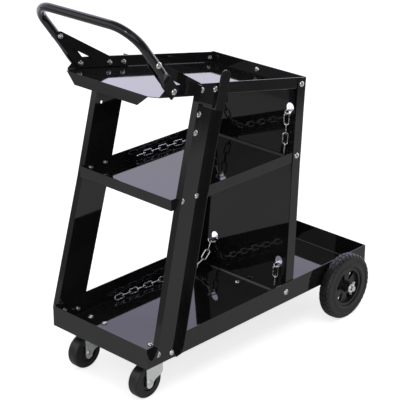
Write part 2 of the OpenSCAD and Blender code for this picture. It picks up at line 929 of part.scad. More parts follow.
// wheel pieces stand on the axle's line, their middle at zero, their outer face to +Y
module wheel_frame(side, turn) {
    translate([wheel_place, side * wheel_mid, axle_height])
        mirror([0, side < 0 ? 1 : 0, 0]) rotate([0, turn, 0]) children();
}

module turned() {
    rotate([-90, 0, 0]) rotate_extrude($fn = 96) children();
}

// a rectangle with its two outer corners rounded
module band(inner, outer, half, radius) {
    union() {
        translate([inner, -half]) square([outer - radius - inner, 2 * half]);
        translate([inner, radius - half]) square([outer - inner, 2 * (half - radius)]);
        for (s = [-1, 1]) translate([outer - radius, s * (half - radius)]) circle(r = radius);
    }
}

// the rim's lips stand back from the tyre's faces, and the tyre has a step for them
bead = rim_radius - 3;
lip_face = tyre_width / 2 - 3.4;
lip_sheet = 2.4;
module tyre() {
    turned() difference() {
        band(bead, wheel_radius, tyre_width / 2, 7);
        for (s = [0, 1]) mirror([0, s]) translate([bead - 1, lip_face - lip_sheet - seat])
            square([rim_radius + 1 - bead, 20]);
    }
}

module rim() {
    half = tyre_width / 2;
    disc = 3;
    face = half - 10;
    hub = 13;
    edge = rim_radius - seat;
    difference() {
        union() {
            turned() {
                polygon([
                    [bead - 3, -lip_face], [edge, -lip_face], [edge, lip_sheet - lip_face],
                    [bead - seat, lip_sheet - lip_face], [bead - seat, lip_face - lip_sheet],
                    [edge, lip_face - lip_sheet], [edge, lip_face], [bead - 3, lip_face]
                ]);
                translate([axle / 2 + 2, -disc]) square([bead - 4 - axle / 2, disc + face]);
                translate([axle / 2 + 2, -half]) square([hub - axle / 2 - 2, tyre_width]);
                translate([axle / 2 + 2, half - 1]) square([9 - axle / 2, hub_out + 1]);
            }
        }
        for (i = [0:spokes - 1]) rotate([0, i * 360 / spokes, 0]) upright(-60, 60) window();
    }
}

// one window between two spokes, wider at the rim than at the hub
module window() {
    polygon([[17, -2], [17, 2], [30, 6.5], [37, 6.5], [37, -6.5], [30, -6.5]]);
}

module bush() {
    half = tyre_width / 2;
    turned() translate([axle / 2 + running, -half])
        square([2 - running - seat, tyre_width + hub_out]);
}

module wheel_right_tyre() {
    color(rubber) cart() wheel_frame(-1, 0) tyre();
}

module wheel_right_rim() {
    color(plastic) cart() wheel_frame(-1, wheel_turn) rim();
}

module wheel_right_bush() {
    color(zinc) cart() wheel_frame(-1, 0) bush();
}

module wheel_left_tyre() {
    color(rubber) cart() wheel_frame(1, 0) tyre();
}

module wheel_left_rim() {
    color(plastic) cart() wheel_frame(1, 20) rim();
}

module wheel_left_bush() {
    color(zinc) cart() wheel_frame(1, 0) bush();
}

// caster pieces: X and Y zero on the swivel axis, Z in the cart's heights
module at_caster(side) {
    translate([caster_place, side * caster_side, 0]) children();
}

module caster_fixed() {
    low = caster_top - caster_sheet - race;
    difference() {
        union() {
            translate([-caster_plate / 2, -caster_plate / 2, caster_top - caster_sheet])
                cube([caster_plate, caster_plate, caster_sheet]);
            translate([0, 0, low]) cylinder(r1 = 16, r2 = 20, h = race + 0.2);
            translate([0, 0, fork_top - caster_sheet - 2.4]) cylinder(r = kingpin, h = 12);
            translate([0, 0, fork_top - caster_sheet - 3.9]) cylinder(d = 16, h = 3.6);
        }
        for (x = [-1, 1], y = [-1, 1])
            translate([x * caster_pitch / 2, y * caster_pitch / 2, low])
                cylinder(r = bolt / 2 + bolt_play, h = 20);
    }
}

// one cheek of the fork, from the crown down to the round end below the axle
module cheek() {
    end = 9;
    low = caster_radius - 5.4;
    front = -caster_trail - end;
    polygon([
        [front, low], [front, fork_top], [19, fork_top], [19, 52], [14, 45],
        [6, 42.5], [-1, 40], [-5, 37], [front + 2 * end, low]
    ]);
    translate([-caster_trail, low]) circle(r = end);
}

module caster_fork() {
    wide = fork_gap + caster_sheet;
    difference() {
        union() {
            for (s = [0, 1]) mirror([0, s, 0]) upright(fork_gap, wide) cheek();
            translate([-caster_trail - 9, -wide, fork_top - caster_sheet])
                cube([caster_trail + 28, 2 * wide, caster_sheet]);
            translate([0, 0, fork_top - caster_sheet]) cylinder(r = 24, h = caster_sheet);
        }
        translate([0, 0, 50]) cylinder(r = kingpin + running, h = 60);
        through([-caster_trail, caster_radius], caster_bolt + seat, -40, 40);
    }
}

module caster_wheel_frame() {
    translate([-caster_trail, 0, caster_radius]) children();
}

core_radius = 21;
module caster_tyre() {
    caster_wheel_frame() turned()
        band(core_radius, caster_radius, caster_width / 2, 6);
}

module caster_core() {
    half = caster_width / 2;
    caster_wheel_frame() turned() {
        translate([caster_bolt + running, -half - 0.7]) square([6, 2 * half + 1.4]);
        translate([9, 3 - half]) square([core_radius - seat - 9, 2 * half - 6]);
    }
}

module caster_pin() {
    out = fork_gap + caster_sheet + seat;
    translate([-caster_trail, 0, caster_radius]) rotate([90, 0, 0]) union() {
        translate([0, 0, -out]) cylinder(r = caster_bolt, h = 2 * out + 0.2);
        translate([0, 0, out]) cylinder(d = 11, h = 2.4);
        translate([0, 0, -out - 3.6]) cylinder(d = 13 / cos(30), h = 3.6, $fn = 6);
    }
}

module caster_right_plate() {
    color(zinc) cart() at_caster(-1) caster_fixed();
}

module caster_right_fork() {
    color(zinc) cart() at_caster(-1) caster_fork();
}

module caster_right_tyre() {
    color(rubber) cart() at_caster(-1) caster_tyre();
}

module caster_right_core() {
    color(plastic) cart() at_caster(-1) caster_core();
}

module caster_right_pin() {
    color(zinc) cart() at_caster(-1) caster_pin();
}

module caster_left_plate() {
    color(zinc) cart() at_caster(1) caster_fixed();
}

module caster_left_fork() {
    color(zinc) cart() at_caster(1) caster_fork();
}

module caster_left_tyre() {
    color(rubber) cart() at_caster(1) caster_tyre();
}

module caster_left_core() {
    color(plastic) cart() at_caster(1) caster_core();
}

module caster_left_pin() {
    color(zinc) cart() at_caster(1) caster_pin();
}

// one link round the origin: long along Z, its plane X and Z
module link() {
    run = half_link - bow;
    for (s = [-1, 1]) {
        translate([s * bow, 0, -run]) cylinder(d = wire, h = 2 * run);
        translate([0, 0, s * run]) rotate([90 * s, 0, 0])
            rotate_extrude(angle = 180) translate([bow, 0]) circle(d = wire, $fn = 24);
    }
}

// a link from one point to the next, turned about its own length
module link_between(p, q, turn) {
    d = q - p;
    flat_run = norm([d[0], d[1]]);
    translate((p + q) / 2)
        rotate([0, atan2(flat_run, d[2]), atan2(d[1], d[0])])
            rotate([0, 0, turn]) link();
}

// a row of links, each a quarter turn from the last
module chain(points) {
    for (i = [0:len(points) - 2]) link_between(points[i], points[i + 1], 90 + i * 90);
}

// a point at a height up the panel, and forward of its slot along the link held there
function held_point(side, forward, up) =
    let (turn = side < 0 ? 0 : held_turn)
    let (p = on_panel(up, -sheet / 2 - forward * cos(turn)))
    [p[0], side * keyhole_side + forward * sin(turn), p[1]];

function held_out(side) = side < 0 ? out_right : out_left;

// centre of the wire that rests at the lower end of the slot
function slot_floor(up) = up - slot_drop + wire / 2 + link_play;

// the held link stands upright in the slot
module held_link(side, up) {
    on_back_panel() translate([-sheet / 2, side * keyhole_side, slot_floor(up) + bow])
        rotate([0, 0, side < 0 ? 0 : -held_turn])
            translate([link_length / 2 - held_out(side) - sheet / 2, 0, 0])
                rotate([0, 90, 0]) link();
}

// turn from link to link of a sagging row, found by halving
function sag(n, ratio, low, high, i) =
    let (t = (low + high) / 2)
    i == 0 ? t
    : sin(n * t / 2) / sin(t / 2) > ratio ? sag(n, ratio, t, high, i - 1)
    : sag(n, ratio, low, t, i - 1);

// where the row behind the panel hooks round the rear of a held link
function rear_hook(side, up) =
    let (back = link_length - wire / 2 - held_out(side) - sheet / 2)
    held_point(side, -back, slot_floor(up) + bow) + [0, side * clear / 2, 0];

// the row behind the panel, from the right held link to the left one
module loop(up) {
    span = rear_hook(1, up) - rear_hook(-1, up);
    reach = norm(span);
    step = sag(loop_links, reach / link_pitch, 0.5, 40, 40);
    radius = link_pitch / 2 / sin(step / 2);
    middle = (rear_hook(1, up) + rear_hook(-1, up)) / 2;
    rise = radius * cos(loop_links * step / 2);
    points = [for (i = [0:loop_links])
        let (a = (i - loop_links / 2) * step)
        middle + span / reach * radius * sin(a) + [0, 0, rise - radius * cos(a)]];
    chain(points);
    for (side = [-1, 1]) held_link(side, up);
}

// where a tail starts: over the lower wire of its held link, in front of the panel
function hook_point(side, up) =
    held_point(side, held_out(side) + sheet / 2 - wire / 2 - bow, slot_floor(up) + clear / 2);

// a tail that hangs down the face of the panel, clear of the floor below
module hanging_tail(up, floor_top) {
    top = hook_point(-1, up);
    count = floor((top[2] - floor_top - wire - link_play - 1) / link_pitch);
    chain([for (i = [0:count]) top - i * link_pitch * [lean_s, 0, lean_c]]);
}

// angle of link i of a row of n that falls and bends towards a floor
function bend(n, a, i) = 2 * a * (i + 1) / (n + 1);
function depth(n, a, i) = i == n ? 0 : cos(bend(n, a, i)) + depth(n, a, i + 1);
function bend_for(n, want, low, high, i) =
    let (a = (low + high) / 2)
    i == 0 ? a
    : depth(n, a, 0) > want ? bend_for(n, want, a, high, i - 1)
    : bend_for(n, want, low, a, i - 1);

// points of a tail: it falls and bends, then lies on a floor and turns slowly along the wall
function walk(p, i, count, n, a, level, turn) =
    i == count ? [p]
    : let (
        fall = i < n ? bend(n, a, i) : 90,
        way = i < n ? turn : 7 - 0.8 * (i - n),
        q = p + link_pitch * [-sin(fall) * cos(way), sin(fall) * sin(way), -cos(fall)]
    )
    concat([p], walk(i < n - 1 ? q : [q[0], q[1], level], i + 1, count, n, a, level, turn));

// every second link of a row on a floor stands on its side
lie = bow + wire / 2 + 0.2;
module lying_tail(up, floor_top, lying, turn) {
    top = hook_point(1, up);
    level = floor_top + lie;
    fall = (top[2] - level) / link_pitch;
    falling = ceil(fall + fall_slack);
    a = bend_for(falling, fall, 1, 89 * (falling + 1) / 2 / falling, 40);
    chain(walk(top, 0, falling + lying, falling, a, level, turn));
}

module chain_upper_loop() {
    color(zinc) cart() loop(keyhole_upper);
}

module chain_lower_loop() {
    color(zinc) cart() loop(keyhole_lower);
}

module chain_upper_tail_right() {
    color(zinc) cart() hanging_tail(keyhole_upper, mid_height + sheet);
}

module chain_lower_tail_right() {
    color(zinc) cart() hanging_tail(keyhole_lower, tray_height + 2 * sheet + seat);
}

module chain_upper_tail_left() {
    color(zinc) cart()
        lying_tail(keyhole_upper, mid_height + sheet, upper_lying, upper_turn);
}

module chain_lower_tail_left() {
    color(zinc) cart()
        lying_tail(keyhole_lower, tray_height + sheet, lower_lying, lower_turn);
}

bottom_tray();
middle_shelf();
top_tray();
back_panel();
front_leg_right();
front_leg_left();
handle_tube();
handle_bracket_right();
handle_bracket_left();
cable_hook();
hook_bolts();
hook_nuts();
leg_bolts();
leg_nuts();
handle_bolts();
handle_nuts();
panel_bolts();
panel_nuts();
caster_bolts();
caster_nuts();
axle_bracket_right();
axle_bracket_left();
axle_shaft();
axle_washers();
split_pins();
wheel_right_tyre();
wheel_right_rim();
wheel_right_bush();
wheel_left_tyre();
wheel_left_rim();
wheel_left_bush();
caster_right_plate();
caster_right_fork();
caster_right_tyre();
caster_right_core();
caster_right_pin();
caster_left_plate();
caster_left_fork();
caster_left_tyre();
caster_left_core();
caster_left_pin();
chain_upper_loop();
chain_upper_tail_right();
chain_upper_tail_left();
chain_lower_loop();
chain_lower_tail_right();
chain_lower_tail_left();
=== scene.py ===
# %% [markdown]
# # A black welding cart
# The cart is folded from thin steel sheet, painted a deep gloss black, and bolted together.
# Its solid model is packed already, as one mesh for each part. This lesson loads that frame,
# gives every part its real finish, and puts finer pieces in place of the plain ones: screws
# with a cross recess, chain links, tyres with a tread, and sheet edges that catch the light.
# Each step says what the real thing is, how it could be made, and why it is made this way.

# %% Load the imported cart
import bmesh
import bpy
import json
import math
import numpy as np
from mathutils import Matrix, Vector

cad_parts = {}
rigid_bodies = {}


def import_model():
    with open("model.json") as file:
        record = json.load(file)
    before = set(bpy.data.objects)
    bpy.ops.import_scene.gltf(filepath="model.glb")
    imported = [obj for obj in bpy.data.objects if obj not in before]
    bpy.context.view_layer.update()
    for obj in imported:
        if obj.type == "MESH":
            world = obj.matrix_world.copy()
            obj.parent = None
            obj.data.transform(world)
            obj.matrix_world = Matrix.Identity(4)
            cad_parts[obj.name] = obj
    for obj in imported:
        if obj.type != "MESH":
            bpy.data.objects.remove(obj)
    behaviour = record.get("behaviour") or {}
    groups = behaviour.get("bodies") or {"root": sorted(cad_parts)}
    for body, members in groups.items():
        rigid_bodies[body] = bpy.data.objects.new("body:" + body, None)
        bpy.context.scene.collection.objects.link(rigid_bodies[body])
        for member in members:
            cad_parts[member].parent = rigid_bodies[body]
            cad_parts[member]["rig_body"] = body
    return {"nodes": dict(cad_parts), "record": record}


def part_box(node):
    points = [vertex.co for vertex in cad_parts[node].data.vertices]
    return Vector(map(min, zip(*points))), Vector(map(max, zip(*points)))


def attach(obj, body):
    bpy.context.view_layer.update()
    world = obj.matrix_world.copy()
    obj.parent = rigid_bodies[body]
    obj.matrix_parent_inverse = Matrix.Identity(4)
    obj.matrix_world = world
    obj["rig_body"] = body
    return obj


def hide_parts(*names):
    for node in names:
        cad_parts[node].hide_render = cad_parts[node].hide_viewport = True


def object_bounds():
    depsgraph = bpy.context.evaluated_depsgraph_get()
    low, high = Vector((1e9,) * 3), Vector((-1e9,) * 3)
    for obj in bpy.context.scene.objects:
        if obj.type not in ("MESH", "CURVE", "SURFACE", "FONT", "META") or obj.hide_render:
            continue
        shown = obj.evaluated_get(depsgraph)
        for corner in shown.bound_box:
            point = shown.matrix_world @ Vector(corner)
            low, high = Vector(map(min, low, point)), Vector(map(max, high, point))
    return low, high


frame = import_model()
PARTS = frame["nodes"]
SLOT_OF = {s["node"]: s["material_slot"] for s in frame["record"]["subparts"]}
MM = 0.001
cad_low, cad_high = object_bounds()
print("parts", len(PARTS), "box", [round(v, 4) for v in (*cad_low, *cad_high)])

# %% [markdown]
# ## The camera
# The photograph was taken from the front right and a little above, and from far off, so the
# trays hardly narrow toward the back. A camera can be set by eye, but then every proportion
# is a guess. This one was worked out from the corners of the trays, whose sizes are known.
# They give its place, its two angles and its long lens.

# %% Camera
CAMERA_PLACE = (-2.1808, -2.0606, 1.5724)
CAMERA_AZIMUTH, CAMERA_ELEVATION = -46.17, 22.61
LENS, SENSOR = 135.6, 36.0
lens = bpy.data.cameras.new("photo_camera")
lens.lens, lens.sensor_width = LENS, SENSOR
camera = bpy.data.objects.new("photo_camera", lens)
camera.location = CAMERA_PLACE
camera.rotation_euler = (math.radians(90 - CAMERA_ELEVATION), 0, math.radians(CAMERA_AZIMUTH))
bpy.context.scene.collection.objects.link(camera)
bpy.context.scene.camera = camera
bpy.context.scene.view_settings.view_transform = "Standard"
print("camera at", CAMERA_PLACE, "lens", LENS)

# %% [markdown]
# ## Helpers for node trees
# A finish is a small network of nodes: a place on the piece, the pattern there, and the
# colour, roughness and height that the pattern gives. It could be drawn by hand in the shader
# editor. In code it comes out the same each time, and a few helpers keep it short: one adds a
# node with its settings, one starts a material, and the others each add one step.


# %% Start a network
def add(tree, kind, **values):
    node = tree.nodes.new(kind)
    for key, value in values.items():
        if key in node.inputs.keys():
            node.inputs[key].default_value = value
        else:
            setattr(node, key, value)
    return node


def empty_material(name):
    """A material, its node tree, and its output, which is all that the tree holds."""
    made = bpy.data.materials.new(name)
    made.use_nodes = True
    made.node_tree.nodes.clear()
    return made, made.node_tree, add(made.node_tree, "ShaderNodeOutputMaterial")


def finish_of(name, **values):
    """A material, its node tree, and the shader in it, which has these values."""
    made, tree, out = empty_material(name)
    shader = add(tree, "ShaderNodeBsdfPrincipled", **values)
    tree.links.new(shader.outputs["BSDF"], out.inputs["Surface"])
    return made, tree, shader


# %% Place, pattern, colour and bump
def object_pattern(tree, scale=(1, 1, 1)):
    coordinates = add(tree, "ShaderNodeTexCoord")
    mapping = add(tree, "ShaderNodeMapping")
    mapping.inputs["Scale"].default_value = scale
    tree.links.new(coordinates.outputs["Object"], mapping.inputs["Vector"])
    return mapping.outputs["Vector"]


def noise(tree, vector, scale, detail=3.0):
    made = add(tree, "ShaderNodeTexNoise", Scale=scale, Detail=detail, Roughness=0.55)
    tree.links.new(vector, made.inputs["Vector"])
    return made.outputs["Fac"]


def spread(tree, source, low, high, start=0.3, end=0.7):
    made = add(tree, "ShaderNodeMapRange")
    for key, value in (("From Min", start), ("From Max", end), ("To Min", low), ("To Max", high)):
        made.inputs[key].default_value = value
    tree.links.new(source, made.inputs["Value"])
    return made.outputs["Result"]


def two_colours(tree, source, first, second, start=0.3, end=0.7):
    made = add(tree, "ShaderNodeValToRGB")
    for stop, position, colour in zip(made.color_ramp.elements, (start, end), (first, second)):
        stop.position, stop.color = position, (*colour, 1)
    tree.links.new(source, made.inputs["Fac"])
    return made.outputs["Color"]


def bump(tree, shader, height, strength, distance):
    made = add(tree, "ShaderNodeBump", Strength=strength, Distance=distance)
    tree.links.new(height, made.inputs["Height"])
    tree.links.new(made.outputs["Normal"], shader.inputs["Normal"])


# %% [markdown]
# ## Gloss paint
# The sheet and the handle are sprayed a deep gloss black. The paint is almost black in itself:
# nearly all that one sees is the room in its skin. It could be a dull base under a clear coat,
# but one smooth layer mirrors the same and has fewer values to keep in step. So the base stays
# dark, the roughness low, and a faint ripple breaks the mirror up, as sprayed paint does.

# %% Black gloss paint
DARK_PAINT, LIGHT_PAINT = (0.008, 0.008, 0.0085), (0.0115, 0.0115, 0.012)
PAINT_ROUGH = (0.025, 0.06)
PAINT_CLOUDS, RIPPLES, RIPPLE_STRENGTH, RIPPLE_DEPTH = 14.0, 260.0, 0.02, 0.0002
black_paint, tree, shader = finish_of("black_gloss_paint", IOR=1.5)
where = object_pattern(tree)
clouds = noise(tree, where, PAINT_CLOUDS)
tree.links.new(two_colours(tree, clouds, DARK_PAINT, LIGHT_PAINT), shader.inputs["Base Color"])
tree.links.new(spread(tree, clouds, *PAINT_ROUGH), shader.inputs["Roughness"])
bump(tree, shader, noise(tree, where, RIPPLES, 1.0), RIPPLE_STRENGTH, RIPPLE_DEPTH)
print("paint, roughness", PAINT_ROUGH)

# %% [markdown]
# ## Rubber and moulded plastic
# The tyres are solid rubber, those of the casters a harder one, and the rims and cores are
# moulded plastic. All are nearly black, so their shine tells them apart: rubber is dull and
# mottled, plastic has a soft sheen. Each could be one flat colour, but then it looks like a
# hole in the picture. One function makes them all, from two close colours, a range of
# roughness and a fine grain.

# %% Rubber, plastic
RUBBER_CLOUDS, GRAIN_STRENGTH, GRAIN_DEPTH = 60.0, 0.25, 0.0003


def rubber(name, dark, light, rough, grain):
    made, tree, shader = finish_of(name)
    where = object_pattern(tree)
    clouds = noise(tree, where, RUBBER_CLOUDS)
    tree.links.new(two_colours(tree, clouds, dark, light), shader.inputs["Base Color"])
    tree.links.new(spread(tree, clouds, *rough), shader.inputs["Roughness"])
    bump(tree, shader, noise(tree, where, grain, 2.0), GRAIN_STRENGTH, GRAIN_DEPTH)
    return made


# name, dark and light colour, range of roughness, fineness of the grain
tyre_rubber = rubber(
    "tyre_rubber", (0.006, 0.006, 0.0065), (0.014, 0.014, 0.015), (0.34, 0.5), 900)
caster_rubber = rubber(
    "caster_rubber", (0.007, 0.007, 0.007), (0.013, 0.013, 0.013), (0.3, 0.42), 1200)
wheel_plastic = rubber(
    "wheel_plastic", (0.008, 0.008, 0.0085), (0.016, 0.016, 0.017), (0.2, 0.32), 1500)
print("rubber and plastic", [m.name for m in (tyre_rubber, caster_rubber, wheel_plastic)])

# %% [markdown]
# ## Plated and bare steel
# Bright zinc covers the casters, the chains and every screw and nut, and the axle is bare.
# A metal shows only what it mirrors, tinted by its base colour, so the base is pale and the
# metallic value is 1. Grey paint would be simpler, but it stays dull where a lamp is mirrored.
# The cloudy grain of the plating is one noise that sets colour, roughness and height together.
# Marks of rolling and turning run one way, so there the grain is finer along one axis.

# %% Plated and bare steel
PLATING_STRENGTH, PLATING_DEPTH = 0.12, 0.0002


def steel(name, dark, light, rough, grain, finer=(1, 1, 1)):
    made, tree, shader = finish_of(name, Metallic=1.0)
    clouds = noise(tree, object_pattern(tree, finer), grain)
    tree.links.new(two_colours(tree, clouds, dark, light), shader.inputs["Base Color"])
    tree.links.new(spread(tree, clouds, *rough), shader.inputs["Roughness"])
    bump(tree, shader, clouds, PLATING_STRENGTH, PLATING_DEPTH)
    return made


# the same, and how much finer the grain is along each axis
zinc_sheet = steel(
    "bright_zinc_sheet", (0.93, 0.97, 0.96), (0.98, 1.0, 0.99), (0.3, 0.45), 90, (1, 1, 5))
chain_zinc = steel(
    "bright_zinc_chain", (0.68, 0.68, 0.69), (0.92, 0.92, 0.93), (0.14, 0.28), 260)
bare_steel = steel(
    "bare_steel", (0.78, 0.78, 0.77), (0.94, 0.94, 0.93), (0.2, 0.36), 160, (1, 6, 1))
zinc_fasteners = steel(
    "zinc_fasteners", (0.72, 0.72, 0.7), (0.95, 0.95, 0.94), (0.16, 0.3), 420)
print("steel", [m.name for m in (zinc_sheet, chain_zinc, bare_steel, zinc_fasteners)])

# %% Give every part its finish
FINISH = {
    "black_paint": black_paint, "tyre_rubber": tyre_rubber, "caster_rubber": caster_rubber,
    "wheel_plastic": wheel_plastic, "zinc_sheet": zinc_sheet, "chain_zinc": chain_zinc,
    "bare_steel": bare_steel, "zinc_fasteners": zinc_fasteners,
}
for node, part in PARTS.items():
    part.data.materials.clear()
    part.data.materials.append(FINISH[SLOT_OF[node]])
print("finishes on", len(PARTS), "parts:", sorted(FINISH))


# %% [markdown]
# ## Putting a piece in place
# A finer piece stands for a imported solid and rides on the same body, so it moves with the
# joints. It could be put in place by moving its object, but then a pattern on object
# coordinates would slide. So its mesh is in the cart's own coordinates and its object stays
# at the origin. Modifiers are baked before that, which leaves a plain mesh.


# %% Place a piece
def body_of(node):
    return PARTS[node]["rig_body"]


def place(name, mesh, *nodes):
    slot = SLOT_OF[nodes[0]]
    if not mesh.materials:
        mesh.materials.append(FINISH[slot])
    piece = bpy.data.objects.new(name, mesh)
    bpy.context.scene.collection.objects.link(piece)
    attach(piece, body_of(nodes[0]))
    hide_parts(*nodes)
    return piece


def baked(obj, name):
    """The mesh that an object's modifiers make, with the object itself put away."""
    bpy.context.view_layer.update()
    mesh = bpy.data.meshes.new_from_object(
        obj.evaluated_get(bpy.context.evaluated_depsgraph_get()))
    mesh.name = name
    obj.modifiers.clear()
    bpy.data.objects.remove(obj)
    return mesh


def in_scene(name, mesh):
    obj = bpy.data.objects.new(name, mesh)
    bpy.context.scene.collection.objects.link(obj)
    return obj


# %% [markdown]
# ## Folded sheet
# Trays, shelf, panel, legs and brackets are folded from sheet. No sheet has a knife edge: a
# fold is round and paint builds up along every cut edge, which shows as a thin bright line.
# The rounding could be in the solid model, at the price of many tiny faces, so it is a bevel
# here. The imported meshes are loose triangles, so a copy is merged and its flat faces are
# joined again, and then a narrow bevel goes round all sharp edges. Weighted normals keep the
# flat faces flat. The casters and the rims are softened in the same way.

# %% A clean copy of a part
SAME_POINT = 2e-6
FLAT_ANGLE = math.radians(0.3)


def merged_copy(node):
    mesh = bpy.data.meshes.new(node)
    bm = bmesh.new()
    bm.from_mesh(PARTS[node].data)
    bmesh.ops.remove_doubles(bm, verts=bm.verts, dist=SAME_POINT)
    bmesh.ops.dissolve_limit(bm, angle_limit=FLAT_ANGLE, verts=bm.verts, edges=bm.edges,
                             use_dissolve_boundaries=False)
    for face in bm.faces:
        face.smooth = True
    bm.to_mesh(mesh)
    bm.free()
    return mesh


trial = merged_copy("cable_hook")
print("cable_hook", len(PARTS["cable_hook"].data.polygons), "faces, merged", len(trial.polygons))
bpy.data.meshes.remove(trial)

# %% Soften the edges of the sheet parts
BEVEL_STEPS, SHARP_FROM = 2, math.radians(30)


def softened(node, width):
    obj = in_scene(node + "_soft", merged_copy(node))
    edge = obj.modifiers.new("edges", "BEVEL")
    edge.width, edge.segments = width, BEVEL_STEPS
    edge.limit_method, edge.angle_limit = "ANGLE", SHARP_FROM
    edge.use_clamp_overlap, edge.miter_outer = True, "MITER_ARC"
    normals = obj.modifiers.new("normals", "WEIGHTED_NORMAL")
    normals.keep_sharp = False
    return place(node + "_sheet", baked(obj, node), node)


SHEETS = ("bottom_tray", "middle_shelf", "top_tray", "back_panel", "front_leg_right",
          "front_leg_left", "handle_bracket_right", "handle_bracket_left", "cable_hook",
          "axle_bracket_right", "axle_bracket_left")
SHEET_EDGE, CASTER_EDGE, RIM_EDGE = 0.45 * MM, 0.5 * MM, 0.7 * MM
for node in SHEETS:
    piece = softened(node, SHEET_EDGE)
    print(node, len(piece.data.polygons), "faces")
for node in ("caster_right_fork", "caster_left_fork", "caster_right_plate", "caster_left_plate"):
    softened(node, CASTER_EDGE)
for node in ("wheel_right_rim", "wheel_left_rim"):
    softened(node, RIM_EDGE)


# %% [markdown]
# ## Where the bolts, nuts and links are
# Each group of bolts is one part whose solids lie apart. Their places could be typed in here,
# but then they would be wrong after any change of the solid model, so they are measured.
# Merging a copy and walking over its edges tells the solids from each other. The shape of
# each solid then gives its axis, so the finer piece goes exactly where the plain one was.


# %% Tell the solids of a part from each other
def islands(node):
    bm = bmesh.new()
    bm.from_mesh(PARTS[node].data)
    bmesh.ops.remove_doubles(bm, verts=bm.verts, dist=SAME_POINT)
    seen, found = set(), []
    for first in bm.verts:
        if first in seen:
            continue
        group, stack = [], [first]
        seen.add(first)
        while stack:
            vert = stack.pop()
            group.append(vert.co[:])
            for edge in vert.link_edges:
                other = edge.other_vert(vert)
                if other not in seen:
                    seen.add(other)
                    stack.append(other)
        found.append(np.array(group))
    bm.free()
    return found


print("leg bolts", len(islands("leg_bolts")), "chain links", len(islands("chain_upper_loop")))

# %% Find the axis of a solid
RIM_BAND = 0.05 * MM


def axis_of(points, candidates):
    """The direction about which the points are slimmest, and on which half they are widest."""
    centre = (points.max(0) + points.min(0)) / 2
    best = None
    for direction in candidates:
        direction = np.array(direction, float) / np.linalg.norm(direction)
        along = (points - centre) @ direction
        out = np.linalg.norm(points - centre - np.outer(along, direction), axis=1)
        score = np.ptp(along) + 2 * out.max()
        if best is None or score < best[0]:
            rim = along[out > out.max() - RIM_BAND].mean()
            best = (score, direction, along, 1 if rim > 0 else -1, centre)
    return best[1:]


axle = axis_of(islands("axle_shaft")[0], ((1, 0, 0), (0, 1, 0), (0, 0, 1)))
print("the axle points along", axle[0])

# %% [markdown]
# ## Helpers for Geometry Nodes
# Links, screws, nuts and the blocks of the tread repeat, so Geometry Nodes set them: a tree
# takes loose points in and gives one mesh out. A loop in code could copy the shape as well,
# but a tree has its sizes as named inputs and can be opened and tried in Blender. The helpers
# start a tree, add the steps that the trees share, and end it: the copies become real faces
# and get their finish.


# %% Start, join and end a tree
def geometry_tree(name, inputs):
    tree = bpy.data.node_groups.new(name, "GeometryNodeTree")
    tree.interface.new_socket("Geometry", in_out="OUTPUT", socket_type="NodeSocketGeometry")
    for title, kind, value in inputs:
        socket = tree.interface.new_socket(title, in_out="INPUT", socket_type="NodeSocket" + kind)
        if value is not None:
            socket.default_value = value
    return tree, tree.nodes.new("NodeGroupInput"), tree.nodes.new("NodeGroupOutput")


def named(tree, name, kind):
    made = tree.nodes.new("GeometryNodeInputNamedAttribute")
    made.data_type = kind
    made.inputs["Name"].default_value = name
    return made.outputs["Attribute"]


def joined(tree, *sockets):
    made = tree.nodes.new("GeometryNodeJoinGeometry")
    for socket in reversed(sockets):
        tree.links.new(socket, made.inputs[0])
    return made.outputs[0]


def close_tree(tree, geometry, finish, out):
    real = tree.nodes.new("GeometryNodeRealizeInstances")
    skin = tree.nodes.new("GeometryNodeSetMaterial")
    tree.links.new(geometry, real.inputs[0])
    tree.links.new(real.outputs[0], skin.inputs["Geometry"])
    tree.links.new(finish, skin.inputs["Material"])
    tree.links.new(skin.outputs[0], out.inputs[0])


# %% Sums and vectors in a tree
def fed(tree, node, *values):
    """The output of a node whose inputs are these numbers or other nodes' outputs."""
    for socket, value in zip(node.inputs, values):
        if isinstance(value, (int, float)):
            socket.default_value = value
        else:
            tree.links.new(value, socket)
    return node.outputs[0]


def arithmetic(tree, operation, first, second):
    made = tree.nodes.new("ShaderNodeMath")
    made.operation = operation
    return fed(tree, made, first, second)


def vector_of(tree, x, y, z):
    return fed(tree, tree.nodes.new("ShaderNodeCombineXYZ"), x, y, z)


# %% From points to a mesh
def points_with(name, places, **facts):
    """A mesh of loose points. Each fact is a row of numbers or of vectors, one for each point."""
    mesh = bpy.data.meshes.new(name)
    mesh.from_pydata([tuple(p) for p in places], [], [])
    for title, rows in facts.items():
        rows = np.array(rows, np.float32)
        kind = "FLOAT_VECTOR" if rows.ndim == 2 else "FLOAT"
        made = mesh.attributes.new(title, kind, "POINT")
        made.data.foreach_set("vector" if rows.ndim == 2 else "value", rows.ravel())
    return mesh


def grown(name, mesh, tree, settings):
    """The mesh that a node tree makes from a mesh of points."""
    obj = in_scene(name + "_points", mesh)
    modifier = obj.modifiers.new("grow", "NODES")
    modifier.node_group = tree
    for item in tree.interface.items_tree:
        if item.in_out == "INPUT" and item.name in settings:
            modifier[item.identifier] = settings[item.name]
    return baked(obj, name)


# %% [markdown]
# ## Chain links
# The two chains hold a gas bottle to the panel. They are bent and welded from zinc plated
# wire. All links are one shape, so the shape is made once and set on one point for each link.
# The point carries two directions, along the link and square to its flat, and the tree turns
# the link to them. The link could be a stretched torus, but that stretches its wire too. A
# round wire swept along a rectangle with filleted corners keeps its thickness. A small
# swelling on one side is the weld that closes it.

# %% One bent and welded link
LINK_LENGTH, LINK_WIDTH, WIRE = 28 * MM, 13.6 * MM, 3 * MM
